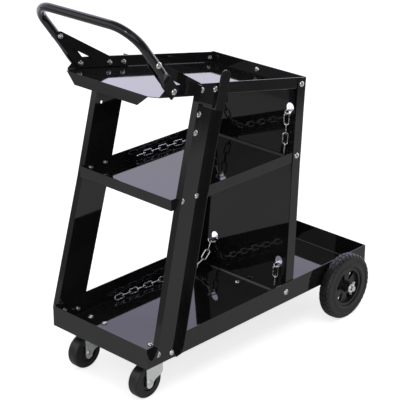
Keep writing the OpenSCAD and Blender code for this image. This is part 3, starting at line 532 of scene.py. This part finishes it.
# corner radius as a share of the short side, and the weld's radius as a share of the wire's
CORNER_SHARE, CORNER_STEPS, WELD_SHARE, WIRE_SIDES, WELD_RINGS = 0.42, 7, 1.12, 10, 8
chain_tree, given, out = geometry_tree("chain_of_links", (
    ("Geometry", "Geometry", None), ("Link length", "Float", LINK_LENGTH),
    ("Link width", "Float", LINK_WIDTH), ("Wire", "Float", WIRE), ("Finish", "Material", None)))
long_side = arithmetic(chain_tree, "SUBTRACT", given.outputs["Link length"], given.outputs["Wire"])
short_side = arithmetic(chain_tree, "SUBTRACT", given.outputs["Link width"], given.outputs["Wire"])
frame_curve = chain_tree.nodes.new("GeometryNodeCurvePrimitiveQuadrilateral")
chain_tree.links.new(long_side, frame_curve.inputs["Width"])
chain_tree.links.new(short_side, frame_curve.inputs["Height"])
corner = chain_tree.nodes.new("GeometryNodeFilletCurve")
corner_count = [s for s in corner.inputs if s.name == "Count"][0]
corner_count.default_value = CORNER_STEPS
if hasattr(corner, "mode"):
    corner.mode = "POLY"
chain_tree.links.new(frame_curve.outputs[0], corner.inputs[0])
chain_tree.links.new(arithmetic(chain_tree, "MULTIPLY", short_side, CORNER_SHARE),
                     corner.inputs["Radius"])
wire_ring = chain_tree.nodes.new("GeometryNodeCurvePrimitiveCircle")
wire_ring.inputs["Resolution"].default_value = WIRE_SIDES
wire_radius = arithmetic(chain_tree, "MULTIPLY", given.outputs["Wire"], 0.5)
chain_tree.links.new(wire_radius, wire_ring.inputs["Radius"])
swept = chain_tree.nodes.new("GeometryNodeCurveToMesh")
chain_tree.links.new(corner.outputs[0], swept.inputs["Curve"])
chain_tree.links.new(wire_ring.outputs[0], swept.inputs["Profile Curve"])
weld = chain_tree.nodes.new("GeometryNodeMeshUVSphere")
weld.inputs["Segments"].default_value = WIRE_SIDES
weld.inputs["Rings"].default_value = WELD_RINGS
chain_tree.links.new(arithmetic(chain_tree, "MULTIPLY", wire_radius, WELD_SHARE),
                     weld.inputs["Radius"])
weld_place = chain_tree.nodes.new("GeometryNodeTransform")
chain_tree.links.new(weld.outputs[0], weld_place.inputs["Geometry"])
weld_at = arithmetic(chain_tree, "MULTIPLY", short_side, 0.5)
chain_tree.links.new(vector_of(chain_tree, 0, weld_at, 0), weld_place.inputs["Translation"])
smooth = chain_tree.nodes.new("GeometryNodeSetShadeSmooth")
chain_tree.links.new(joined(chain_tree, swept.outputs[0], weld_place.outputs[0]),
                     smooth.inputs[0])
print("a link takes", len(chain_tree.nodes), "nodes")

# %% Links on their points
turned = chain_tree.nodes.new("FunctionNodeAxesToRotation")
turned.primary_axis, turned.secondary_axis = "X", "Z"
chain_tree.links.new(named(chain_tree, "along", "FLOAT_VECTOR"), turned.inputs[0])
chain_tree.links.new(named(chain_tree, "flat", "FLOAT_VECTOR"), turned.inputs[1])
put = chain_tree.nodes.new("GeometryNodeInstanceOnPoints")
chain_tree.links.new(given.outputs["Geometry"], put.inputs["Points"])
chain_tree.links.new(smooth.outputs[0], put.inputs["Instance"])
chain_tree.links.new(turned.outputs[0], put.inputs["Rotation"])
close_tree(chain_tree, put.outputs[0], given.outputs["Finish"], out)
print("the chain's tree takes", len(chain_tree.nodes), "nodes")

# %% Set the links in their places
# a chain rolls as it settles: one link in two ends up with its flat side toward this direction
ROLLED = np.array((-0.68, -0.64, 0.35))


def link_axes(points):
    """The middle of a link, its long axis, and the direction square to its flat side."""
    spread_of = np.linalg.svd(points - points.mean(0), full_matrices=False)[2]
    along, flat = spread_of[0], spread_of[2]
    faced = ROLLED - (ROLLED @ along) * along
    faced /= np.linalg.norm(faced)
    edgewise = np.cross(along, faced)
    rolled = max((faced, edgewise), key=lambda way: abs(way @ flat))
    return points.mean(0), along, rolled


CHAINS = ("chain_upper_loop", "chain_lower_loop", "chain_upper_tail_right",
          "chain_lower_tail_right", "chain_upper_tail_left", "chain_lower_tail_left")
for node in CHAINS:
    axes = [link_axes(p) for p in islands(node)]
    mesh = grown(node + "_links", points_with(
        node, [a[0] for a in axes], along=[a[1] for a in axes], flat=[a[2] for a in axes]),
        chain_tree, {"Finish": chain_zinc})
    place(node + "_links", mesh, node)
    print(node, len(axes), "links", len(mesh.polygons), "faces")


# %% [markdown]
# ## Screws and nuts
# The cart is held by pan head screws with a cross recess, and by flanged nuts. One head, one
# thread and one nut are modelled, each one unit wide and one unit high. Then a node tree sets
# a copy on every bolt's point, along its axis. No two real screws stand alike, so each gets
# a turn of its own, drawn at random from a fixed seed. Round shapes come from a lathe: an
# outline turned round an axis. A screw modifier could do that, but a short function closes
# the poles and turns every face outwards.


# %% A lathe
def closed_mesh(bm, name, smooth):
    """The mesh of a bmesh, with all its faces pointing outwards."""
    bmesh.ops.recalc_face_normals(bm, faces=bm.faces)
    for face in bm.faces:
        face.smooth = smooth
    mesh = bpy.data.meshes.new(name)
    bm.to_mesh(mesh)
    bm.free()
    return mesh


def lathe(name, profile, count, closed=False):
    """A profile of (radius, height), turned round the Z axis in count steps."""
    bm = bmesh.new()
    rings = []
    for radius, height in profile:
        if radius == 0:
            rings.append([bm.verts.new((0, 0, height))])
        else:
            rings.append([bm.verts.new((radius * math.cos(2 * math.pi * i / count),
                                        radius * math.sin(2 * math.pi * i / count), height))
                          for i in range(count)])
    pairs = list(zip(rings, rings[1:])) + ([(rings[-1], rings[0])] if closed else [])
    for low, high in pairs:
        for i in range(count):
            j = (i + 1) % count
            corners = [low[i % len(low)], low[j % len(low)],
                       high[j % len(high)], high[i % len(high)]]
            bm.faces.new(list(dict.fromkeys(corners)))
    return closed_mesh(bm, name, smooth=True)


# %% [markdown]
# ### The head
# A low dome of 13 mm, with a cross recess for the driver. The cross could be a dark pattern
# on the dome, but a real one has walls that catch the light. So a tapered cross is cut out of
# the turned dome with a boolean.


# %% The tapered cross
def tapered_cross(reach, half, low, high, taper):
    bm = bmesh.new()
    outline = [(reach, -half), (reach, half), (half, half), (half, reach), (-half, reach),
               (-half, half), (-reach, half), (-reach, -half), (-half, -half), (-half, -reach),
               (half, -reach), (half, -half)]
    top = [bm.verts.new((x, y, high)) for x, y in outline]
    foot = [bm.verts.new((x * taper, y * taper, low)) for x, y in outline]
    bm.faces.new(top)
    bm.faces.new(foot[::-1])
    for i in range(len(outline)):
        j = (i + 1) % len(outline)
        bm.faces.new((top[j], top[i], foot[i], foot[j]))
    return closed_mesh(bm, "recess", smooth=False)


# %% One head
HEAD_WIDE, HEAD_HIGH, HEAD_SIDES = 13.0, 3.6, 32
head_shape = [(0, HEAD_HIGH), (2.2, 3.5), (4.0, 3.1), (5.3, 2.4), (6.1, 1.5), (6.45, 0.7),
              (6.5, 0.15), (6.35, 0.0), (0, 0)]
# the cross recess: how far its arms reach, half their width, its depth, how it narrows
RECESS_REACH, RECESS_HALF, RECESS_DEPTH, RECESS_TAPER = 3.5, 0.9, 2.5, 0.75
ABOVE_HEAD = 6.0
head_object = in_scene("head", lathe("head", head_shape, HEAD_SIDES))
recess_object = in_scene("recess", tapered_cross(
    RECESS_REACH, RECESS_HALF, HEAD_HIGH - RECESS_DEPTH, ABOVE_HEAD, RECESS_TAPER))
cut = head_object.modifiers.new("recess", "BOOLEAN")
cut.operation, cut.object, cut.solver = "DIFFERENCE", recess_object, "EXACT"
head_mesh = baked(head_object, "head")
bpy.data.objects.remove(recess_object)
head_mesh.set_sharp_from_angle(angle=math.radians(40))
head_mesh.transform(Matrix.Diagonal((1 / HEAD_WIDE, 1 / HEAD_WIDE, 1 / HEAD_HIGH, 1)))
print("head", len(head_mesh.polygons), "faces")

# %% [markdown]
# ### The thread
# The end of each screw shows past its nut. A real thread is a helix. Plain ridges look the
# same at this size, and turned on the lathe they close without a seam.

# %% One thread
RIDGES, THREAD_SIDES = 12, 16
# radii of a thread one unit wide: in its grooves, on its ridges, and at its blunt end
thread_shape = [(0, 0)]
for ridge in range(RIDGES):
    thread_shape += [(0.44, -ridge / RIDGES), (0.5, -(ridge + 0.5) / RIDGES)]
thread_shape += [(0.36, -1.0), (0, -1.0)]
thread_mesh = lathe("thread", thread_shape, THREAD_SIDES)
print("thread", len(thread_mesh.polygons), "faces")

# %% [markdown]
# ### The flanged nut
# A hexagon on a round flange, with its upper corners turned off. It could be a hexagonal
# prism cut by a cone. Here it is a stack of rings, each a circle or a hexagon that a circle
# limits, because that gives the same corners with clean faces and no boolean.

# %% One nut
# the room that the solid nut takes, the finer nut's width across its flats, its bore
NUT_WIDE, NUT_HIGH, NUT_FLAT, NUT_BORE, NUT_SIDES = 13.0, 5.2, 8.6, 3.05, 36


def flange_nut():
    """A hexagon whose top corners are turned off, on a round flange, with its bore."""
    bm = bmesh.new()
    rings = []

    def ring(height, limit, hexagon):
        row = []
        for i in range(NUT_SIDES):
            angle = 2 * math.pi * i / NUT_SIDES
            flat = NUT_FLAT / 2 / math.cos((angle + math.pi / 6) % (math.pi / 3) - math.pi / 6)
            radius = min(flat, limit) if hexagon else limit
            row.append(bm.verts.new((radius * math.cos(angle), radius * math.sin(angle), height)))
        rings.append(row)

    for height, limit, hexagon in (
            (0, NUT_BORE, False), (0, 5.2, False), (0.15, 5.3, False), (0.5, 5.2, False),
            (0.8, 4.9, False), (0.95, 4.95, True), (3.1, 4.95, True), (3.5, 4.6, True),
            (3.7, 4.2, True), (3.7, 3.5, False), (3.0, NUT_BORE, False)):
        ring(height, limit, hexagon)
    for low, high in zip(rings, rings[1:] + rings[:1]):
        for i in range(NUT_SIDES):
            j = (i + 1) % NUT_SIDES
            bm.faces.new((low[i], low[j], high[j], high[i]))
    mesh = closed_mesh(bm, "nut", smooth=True)
    mesh.set_sharp_from_angle(angle=math.radians(24))
    mesh.transform(Matrix.Diagonal((1 / NUT_WIDE, 1 / NUT_WIDE, 1 / NUT_HIGH, 1)))
    return mesh


nut_mesh = flange_nut()
print("nut", len(nut_mesh.polygons), "faces")

# %% The tree that sets fasteners
fastener_tree, given, out = geometry_tree("fasteners", (
    ("Geometry", "Geometry", None), ("Top", "Object", None), ("Thread", "Object", None),
    ("Top width", "Float", HEAD_WIDE * MM), ("Top height", "Float", HEAD_HIGH * MM),
    ("Thread width", "Float", 6 * MM), ("Finish", "Material", None)))
aim = fastener_tree.nodes.new("FunctionNodeAlignRotationToVector")
aim.axis = "Z"
fastener_tree.links.new(named(fastener_tree, "outward", "FLOAT_VECTOR"), aim.inputs["Vector"])
own_turn = fastener_tree.nodes.new("FunctionNodeAxisAngleToRotation")
own_turn.inputs["Axis"].default_value = (0, 0, 1)
fastener_tree.links.new(named(fastener_tree, "turn", "FLOAT"), own_turn.inputs["Angle"])
both = fastener_tree.nodes.new("FunctionNodeRotateRotation")
both.rotation_space = "LOCAL"
fastener_tree.links.new(aim.outputs[0], both.inputs[0])
fastener_tree.links.new(own_turn.outputs[0], both.inputs[1])


def copies(tree, given, title, rotation, wide, high):
    info = tree.nodes.new("GeometryNodeObjectInfo")
    tree.links.new(given.outputs[title], info.inputs["Object"])
    put = tree.nodes.new("GeometryNodeInstanceOnPoints")
    tree.links.new(given.outputs["Geometry"], put.inputs["Points"])
    tree.links.new(info.outputs["Geometry"], put.inputs["Instance"])
    tree.links.new(rotation, put.inputs["Rotation"])
    tree.links.new(vector_of(tree, wide, wide, high), put.inputs["Scale"])
    return put.outputs[0]


tops = copies(fastener_tree, given, "Top", both.outputs[0],
              given.outputs["Top width"], given.outputs["Top height"])
threads = copies(fastener_tree, given, "Thread", both.outputs[0],
                 given.outputs["Thread width"], named(fastener_tree, "reach", "FLOAT"))
close_tree(fastener_tree, joined(fastener_tree, tops, threads), given.outputs["Finish"], out)
print("the fasteners' tree takes", len(fastener_tree.nodes), "nodes")

# %% Set every screw and nut
# the back panel leans, so its middle bolt does too
LEAN = math.radians(4.2)
LARGEST_TURN = 3.1
# how much shorter the finer thread is than the solid one, to go with the lower nut
THREAD_SHORT = 1.9
AXES = ((1, 0, 0), (0, 1, 0), (0, 0, 1), (math.cos(LEAN), 0, -math.sin(LEAN)),
        (math.cos(LEAN), 0, math.sin(LEAN)))
head_object, thread_object = in_scene("head", head_mesh), in_scene("thread", thread_mesh)
nut_object = in_scene("nut", nut_mesh)
nothing = in_scene("nothing", bpy.data.meshes.new("nothing"))
draw = np.random.default_rng(7)


def set_fasteners(node, top, top_wide, top_high, thread):
    is_screw = thread is not nothing
    places, outward, reach = [], [], []
    for points in islands(node):
        direction, along, rim_side, centre = axis_of(points, AXES)
        # a screw points to its head, the wider end; a nut points away from its wide flange
        sign = rim_side if is_screw else -rim_side
        seat = (along * sign).max() - top_high * MM if is_screw else (along * sign).min()
        places.append(centre + direction * sign * seat)
        outward.append(direction * sign)
        reach.append(max(np.ptp(along) - (top_high + THREAD_SHORT) * MM, 0.0))
    turns = draw.uniform(0, LARGEST_TURN, len(places))
    mesh = grown(node + "_set", points_with(
        node, places, outward=outward, reach=reach, turn=turns),
        fastener_tree, {"Top": top, "Thread": thread, "Top width": top_wide * MM,
                        "Top height": top_high * MM, "Finish": zinc_fasteners})
    place(node + "_set", mesh, node)
    print(node, len(places), "set,", len(mesh.polygons), "faces")


for group in ("leg", "handle", "hook", "panel", "caster"):
    set_fasteners(group + "_bolts", head_object, HEAD_WIDE, HEAD_HIGH, thread_object)
    set_fasteners(group + "_nuts", nut_object, NUT_WIDE, NUT_HIGH, nothing)
for spent in (head_object, thread_object, nut_object, nothing):
    bpy.data.objects.remove(spent)

# %% [markdown]
# ## Tyres with a moulded tread
# A solid rubber tyre is a turned body with a tread moulded on it. The body is a lathe shape
# with round shoulders and two rings on its side wall. The tread could be a bump on it, but it
# shows as notches against the white floor, so it is real. Its blocks repeat round the tyre,
# and a node tree sets them, in two rows on each side: the inner row flat on the crown, the
# outer one over the shoulder, half a step further round, with narrow grooves between.

# %% The tyre's outline
TYRE_RADIUS, GROOVE, TYRE_STEPS = 76.2, 2.2, 96
BEAD_RADIUS, BEAD_STEP, STEP_RADIUS = 42.0, 8.6, 46.0
# place across the tread, from its middle, and the radius there
SHOULDER = [(0.0, TYRE_RADIUS), (3.0, TYRE_RADIUS), (6.0, 76.0), (8.0, 75.8), (10.0, 75.2),
            (12.2, 73.6), (13.6, 71.2), (14.3, 67.6)]
body_half = [(r - (GROOVE if y < 13 else GROOVE * 0.45), y) for y, r in SHOULDER]
# radius and place across, from the shoulder down to the bead, with two raised rings
side_wall = [(66.0, 14.2), (64.4, 14.5), (63.4, 14.3), (62.8, 13.3), (60.0, 13.2), (56.0, 13.4),
             (52.5, 13.8), (51.0, 14.5), (49.2, 14.5), (48.4, 13.6), (47.2, 13.4),
             (STEP_RADIUS, 12.6), (STEP_RADIUS, BEAD_STEP), (BEAD_RADIUS, BEAD_STEP)]
half_profile = body_half + side_wall
tyre_profile = [(r, -y) for r, y in reversed(half_profile)] + half_profile[1:]
print("tyre outline", len(tyre_profile), "points")

# %% One block of the tread
# how deep a block's foot is sunk in the body, and how much wider it is there
SINK, FOOT_GROWS = 3.0, 1.12
# past these places across the tread, a block is narrower, and its foot leans inwards
NARROW_PAST, NARROW_SHARE, LEAN_PAST, LEAN_SHARE = 12, 0.85, 13, 0.6


def block(first, last, slant, half_width):
    """One block of the tread, from first to last across it, that follows the shoulder."""
    bm = bmesh.new()
    rows = []
    heights = [y for y, _ in SHOULDER]
    radii = [r for _, r in SHOULDER]
    across = [first] + [y for y in heights if first + 0.5 < y < last - 0.5] + [last]
    for y in across:
        r = float(np.interp(y, heights, radii))
        wide = half_width * (1.0 if y < NARROW_PAST else NARROW_SHARE)
        row = []
        for depth, grow in ((0.0, 1.0), (SINK, FOOT_GROWS)):
            for side in (-1, 1):
                angle = (slant * (y - first) + side * wide * grow) / TYRE_RADIUS
                lean = depth * LEAN_SHARE if y > LEAN_PAST else 0
                row.append(bm.verts.new(((r - depth) * math.sin(angle), y - lean,
                                         (r - depth) * math.cos(angle))))
        rows.append(row)
    for a, b in zip(rows, rows[1:]):
        for i, j in ((0, 1), (1, 3), (3, 2), (2, 0)):
            bm.faces.new((a[i], a[j], b[j], b[i]))
    bm.faces.new([rows[0][i] for i in (0, 2, 3, 1)])
    bm.faces.new([rows[-1][i] for i in (0, 1, 3, 2)])
    mesh = closed_mesh(bm, "block", smooth=False)
    mesh.transform(Matrix.Scale(MM, 4))
    return mesh


# %% The tree that sets blocks round a tyre
BLOCKS = 38
block_tree, given, out = geometry_tree("blocks_round_a_tyre", (
    ("Geometry", "Geometry", None), ("Block", "Object", None), ("Count", "Int", BLOCKS),
    ("Start", "Float", 0.0), ("Finish", "Material", None)))
line = block_tree.nodes.new("GeometryNodeMeshLine")
block_tree.links.new(given.outputs["Count"], line.inputs["Count"])
line.inputs["Offset"].default_value = (0, 0, 0)
index = block_tree.nodes.new("GeometryNodeInputIndex")
step = arithmetic(block_tree, "DIVIDE", 2 * math.pi, given.outputs["Count"])
angle = arithmetic(block_tree, "ADD",
                   arithmetic(block_tree, "MULTIPLY", index.outputs[0], step),
                   given.outputs["Start"])
info = block_tree.nodes.new("GeometryNodeObjectInfo")
block_tree.links.new(given.outputs["Block"], info.inputs["Object"])
put = block_tree.nodes.new("GeometryNodeInstanceOnPoints")
block_tree.links.new(line.outputs[0], put.inputs["Points"])
block_tree.links.new(info.outputs["Geometry"], put.inputs["Instance"])
spin = block_tree.nodes.new("FunctionNodeEulerToRotation")
block_tree.links.new(vector_of(block_tree, 0, angle, 0), spin.inputs[0])
block_tree.links.new(spin.outputs[0], put.inputs["Rotation"])
close_tree(block_tree, joined(block_tree, given.outputs["Geometry"], put.outputs[0]),
           given.outputs["Finish"], out)
print("the tread's tree takes", len(block_tree.nodes), "nodes")

# %% Both tyres
# one row of blocks: first, last, slant, half width and the share of a step that it is turned
ROWS = ((0.9, 7.2, 0.55, 4.9, 0.0), (8.6, 14.3, 0.35, 4.6, 0.5))


def tyre(node):
    low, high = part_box(node)
    body = lathe("tyre", [(r * MM, y * MM) for r, y in tyre_profile], TYRE_STEPS, closed=True)
    body.transform(Matrix.Rotation(math.radians(-90), 4, "X"))
    for side, side_turn in ((1, 0.0), (-1, 0.25)):
        for first, last, slant, half, row_turn in ROWS:
            shape = block(first, last, slant, half)
            if side < 0:
                shape.transform(Matrix.Rotation(math.pi, 4, "Z"))
            shape_object = in_scene("block", shape)
            body = grown("tyre", body, block_tree, {
                "Block": shape_object, "Count": BLOCKS, "Finish": tyre_rubber,
                "Start": (side_turn + row_turn) * 2 * math.pi / BLOCKS})
            bpy.data.objects.remove(shape_object)
    body.set_sharp_from_angle(angle=math.radians(35))
    body.transform(Matrix.Translation((low + high) / 2))
    return place(node + "_tread", body, node)


for node in ("wheel_right_tyre", "wheel_left_tyre"):
    piece = tyre(node)
    print(node, len(piece.data.polygons), "faces")

# %% [markdown]
# ## The room
# A pale floor and a white room, as in a product photograph. Gloss paint shows what stands
# round it, so the room matters as much as the paint. The floor could be lit until it is
# white, but that light would fade the cart. So it glows for the camera, and hardly at all for
# the cart. The floor that the paint mirrors has painted shade on it: in reflections only, it
# is paler near the cart and darker further off.

# %% The floor's mesh
FLOOR_HALF = 6.0
floor_mesh = bpy.data.meshes.new("floor")
floor_mesh.from_pydata([(-FLOOR_HALF, -FLOOR_HALF, 0), (FLOOR_HALF, -FLOOR_HALF, 0),
                        (FLOOR_HALF, FLOOR_HALF, 0), (-FLOOR_HALF, FLOOR_HALF, 0)], [],
                       [(0, 1, 2, 3)])
floor_mesh.transform(Matrix.Translation((0, 0, cad_low.z)))
floor = in_scene("floor", floor_mesh)
floor_finish, tree, out = empty_material("pale_floor")
floor_mesh.materials.append(floor_finish)
print("floor", 2 * FLOOR_HALF, "m wide")

# %% Painted shade on the floor, seen only in the gloss
# painted shade, seen only in reflections: a metre to the right of the cart the floor turns
# darker, and the corner in front of it on the right is darker too
SHADE_START_Y, SHADE_FULL_Y = -1.08, -1.28
CORNER_END, CORNER_DARK, CORNER_SHADE = 0.75, 1.1, 0.75
FLOOR_COLOUR, PAINTED_FLOOR_SHADE = (0.8, 0.8, 0.8), (0.2, 0.2, 0.2)
matt = add(tree, "ShaderNodeBsdfDiffuse")
paths = add(tree, "ShaderNodeLightPath")
sides = add(tree, "ShaderNodeSeparateXYZ")
tree.links.new(object_pattern(tree), sides.inputs[0])
to_corner = add(tree, "ShaderNodeVectorMath", operation="DOT_PRODUCT")
tree.links.new(object_pattern(tree), to_corner.inputs[0])
to_corner.inputs[1].default_value = (-0.7071, -0.7071, 0)
darker = add(tree, "ShaderNodeMath", operation="MAXIMUM")
tree.links.new(spread(tree, sides.outputs["Y"], 0.0, 1.0, SHADE_START_Y, SHADE_FULL_Y), darker.inputs[0])
tree.links.new(spread(tree, to_corner.outputs["Value"], 0.0, CORNER_SHADE, CORNER_END,
                      CORNER_DARK), darker.inputs[1])
# painted shade: for glossy rays only, the floor's colour falls from its own towards the dark one
painted_shade_in_gloss = add(tree, "ShaderNodeMath", operation="MULTIPLY")
tree.links.new(darker.outputs[0], painted_shade_in_gloss.inputs[0])
tree.links.new(paths.outputs["Is Glossy Ray"], painted_shade_in_gloss.inputs[1])
tree.links.new(two_colours(tree, painted_shade_in_gloss.outputs[0], FLOOR_COLOUR, PAINTED_FLOOR_SHADE, 0.0, 1.0),
               matt.inputs["Color"])
print("painted shade on the mirrored floor starts at y", SHADE_START_Y, "and is full at", SHADE_FULL_Y)

# %% The floor's glow
# how much it glows for the camera, and in mirrors and glass
GLOW_SEEN, GLOW_MIRRORED = 0.74, 0.02
glow = add(tree, "ShaderNodeEmission")
seen_by = add(tree, "ShaderNodeMath", operation="MAXIMUM")
tree.links.new(paths.outputs["Is Glossy Ray"], seen_by.inputs[0])
tree.links.new(paths.outputs["Is Transmission Ray"], seen_by.inputs[1])
weak = add(tree, "ShaderNodeMath", operation="MULTIPLY")
weak.inputs[1].default_value = GLOW_MIRRORED
tree.links.new(seen_by.outputs[0], weak.inputs[0])
strong = add(tree, "ShaderNodeMath", operation="MULTIPLY_ADD")
strong.inputs[1].default_value = GLOW_SEEN
tree.links.new(paths.outputs["Is Camera Ray"], strong.inputs[0])
tree.links.new(weak.outputs[0], strong.inputs[2])
tree.links.new(strong.outputs[0], glow.inputs["Strength"])
both = add(tree, "ShaderNodeAddShader")
tree.links.new(matt.outputs[0], both.inputs[0])
tree.links.new(glow.outputs[0], both.inputs[1])
tree.links.new(both.outputs[0], out.inputs["Surface"])
print("glow", GLOW_SEEN, "and mirrored", GLOW_MIRRORED)

# %% [markdown]
# ## Light
# The cart stands in even studio light with soft shadows. Such light could come from lamps
# alone, but the white room gives it for less: the world shines gently on the cart and is
# plain white where the camera or a mirror looks at it. One wide lamp above makes the shadow
# under the cart, and a small one near the camera gives the steel its bright points.

# %% World
world = bpy.data.worlds.new("white_room")
bpy.context.scene.world = world
world.use_nodes = True
tree = world.node_tree
tree.nodes.clear()
out = add(tree, "ShaderNodeOutputWorld")
room = add(tree, "ShaderNodeBackground")
room.inputs["Color"].default_value = (1, 1, 1, 1)
paths = add(tree, "ShaderNodeLightPath")
ray = paths.outputs["Is Camera Ray"]
for other in ("Is Glossy Ray", "Is Transmission Ray"):
    either = add(tree, "ShaderNodeMath", operation="MAXIMUM")
    tree.links.new(ray, either.inputs[0])
    tree.links.new(paths.outputs[other], either.inputs[1])
    ray = either.outputs[0]
ROOM_LIGHT = 0.45
tree.links.new(spread(tree, ray, ROOM_LIGHT, 1.0, 0.0, 1.0), room.inputs["Strength"])
tree.links.new(room.outputs[0], out.inputs["Surface"])
print("room light", ROOM_LIGHT)


# %% Lamps
def lamp(name, place_at, aim_at, width, height, watts):
    light = bpy.data.lights.new(name, "AREA")
    light.shape, light.size, light.size_y, light.energy = "RECTANGLE", width, height, watts
    obj = bpy.data.objects.new(name, light)
    obj.location = place_at
    toward = Vector(aim_at) - Vector(place_at)
    obj.rotation_euler = toward.to_track_quat("-Z", "Y").to_euler()
    obj.visible_camera = False
    bpy.context.scene.collection.objects.link(obj)
    return obj


MIDDLE_OF_CART = (0, 0, 0.4)
lamp("overhead", (-0.5, -0.8, 2.6), MIDDLE_OF_CART, 1.8, 1.8, 17)
lamp("key_by_the_camera", (-1.9, -1.1, 1.9), MIDDLE_OF_CART, 0.4, 0.4, 5)

# %% [markdown]
# ## What the gloss mirrors
# The floors of the trays show what stands behind the cart, low down: in the photograph that is
# a pale lilac, brighter above than below. Painting the trays lilac would look right from one
# side alone. So a backdrop stands there that only mirrors see: it colours the reflections and
# leaves the light on the rubber and the steel as it is. Three dim cards do the same for the
# ceiling and for the walls to the left and to the right.


# %% A card that only mirrors see
def mirror_card(name, corners):
    """The card's node tree and the shader that makes it shine."""
    mesh = bpy.data.meshes.new(name)
    mesh.from_pydata(corners, [], [(0, 1, 2, 3)])
    card = in_scene(name, mesh)
    card.visible_camera = card.visible_diffuse = card.visible_shadow = False
    finish, tree, out = empty_material(name)
    shine = add(tree, "ShaderNodeEmission")
    tree.links.new(shine.outputs[0], out.inputs["Surface"])
    mesh.materials.append(finish)
    return tree, shine


def height_on(tree, scale=1.0):
    parts = add(tree, "ShaderNodeSeparateXYZ")
    tree.links.new(object_pattern(tree, (1, 1, scale)), parts.inputs[0])
    return parts.outputs["Z"]


# %% The lilac backdrop
BACK_DISTANCE, BACK_HALF, BACK_HIGH, OFF_FLOOR = 0.6, 1.6, 2.0, 0.001
# height up the backdrop in metres, and the brightness there
BACK_LEVELS = ((0.0, (1.37, 1.32, 1.65)), (0.30, (1.37, 1.32, 1.65)), (0.48, (1.25, 1.2, 1.58)),
               (0.60, (1.4, 1.38, 1.62)), (0.66, (1.46, 1.43, 1.68)), (0.73, (1.56, 1.49, 1.9)),
               (BACK_HIGH, (1.4, 1.36, 1.7)))
BRIGHTEST = 2.5
azimuth = math.radians(90 + CAMERA_AZIMUTH)
away = Vector((math.cos(azimuth), math.sin(azimuth), 0))
along_it = Vector((-away.y, away.x, 0))
foot = away * BACK_DISTANCE + Vector((0, 0, cad_low.z + OFF_FLOOR))
corners = [foot - along_it * BACK_HALF, foot + along_it * BACK_HALF]
tree, shine = mirror_card("lilac_backdrop",
                          [*corners, *[c + Vector((0, 0, BACK_HIGH)) for c in corners[::-1]]])
ramp = add(tree, "ShaderNodeValToRGB")
stops = ramp.color_ramp.elements
for number, (height, colour) in enumerate(BACK_LEVELS):
    stop = stops[number] if number < 2 else stops.new(height / BACK_HIGH)
    stop.position, stop.color = height / BACK_HIGH, (*[c / BRIGHTEST for c in colour], 1)
tree.links.new(height_on(tree, 1 / BACK_HIGH), ramp.inputs["Fac"])
tree.links.new(ramp.outputs["Color"], shine.inputs["Color"])
shine.inputs["Strength"].default_value = BRIGHTEST
print("backdrop at", [round(v, 3) for v in foot])

# %% A dim ceiling and two dim walls
CEILING_HIGH, CEILING_HALF, CEILING_GLOW = 2.0, 1.5, 0.22
tree, shine = mirror_card("dim_ceiling", [
    (-CEILING_HALF, -CEILING_HALF, CEILING_HIGH), (CEILING_HALF, -CEILING_HALF, CEILING_HIGH),
    (CEILING_HALF, CEILING_HALF, CEILING_HIGH), (-CEILING_HALF, CEILING_HALF, CEILING_HIGH)])
shine.inputs["Strength"].default_value = CEILING_GLOW
# the wall beyond the left front, which the leaning edges of the legs mirror
WALL_X, WALL_Y, WALL_Z = -1.75, (0.2, 2.4), (cad_low.z + 0.005, 0.95)
WALL_GLOW, WALL_HEIGHTS = (0.28, 0.7), (0.42, 0.64)
tree, shine = mirror_card("dim_wall", [
    (WALL_X, WALL_Y[0], WALL_Z[0]), (WALL_X, WALL_Y[1], WALL_Z[0]),
    (WALL_X, WALL_Y[1], WALL_Z[1]), (WALL_X, WALL_Y[0], WALL_Z[1])])
tree.links.new(spread(tree, height_on(tree), *WALL_GLOW, *WALL_HEIGHTS),
               shine.inputs["Strength"])
# a dim wall to the right, above the height where the forks would mirror it
RIGHT_Y, RIGHT_X, RIGHT_Z, RIGHT_GLOW = -2.2, (-0.8, 3.5), (0.5, 2.4), 0.12
tree, shine = mirror_card("dim_right_wall", [
    (RIGHT_X[0], RIGHT_Y, RIGHT_Z[0]), (RIGHT_X[1], RIGHT_Y, RIGHT_Z[0]),
    (RIGHT_X[1], RIGHT_Y, RIGHT_Z[1]), (RIGHT_X[0], RIGHT_Y, RIGHT_Z[1])])
shine.inputs["Strength"].default_value = RIGHT_GLOW
print("cards", CEILING_GLOW, WALL_GLOW, RIGHT_GLOW)

# %% [markdown]
# ## Sizes and the end
# The last cell prints the imported model's box.

# %% Sizes
print("cad", [round(v, 4) for v in (*cad_low, *cad_high)])
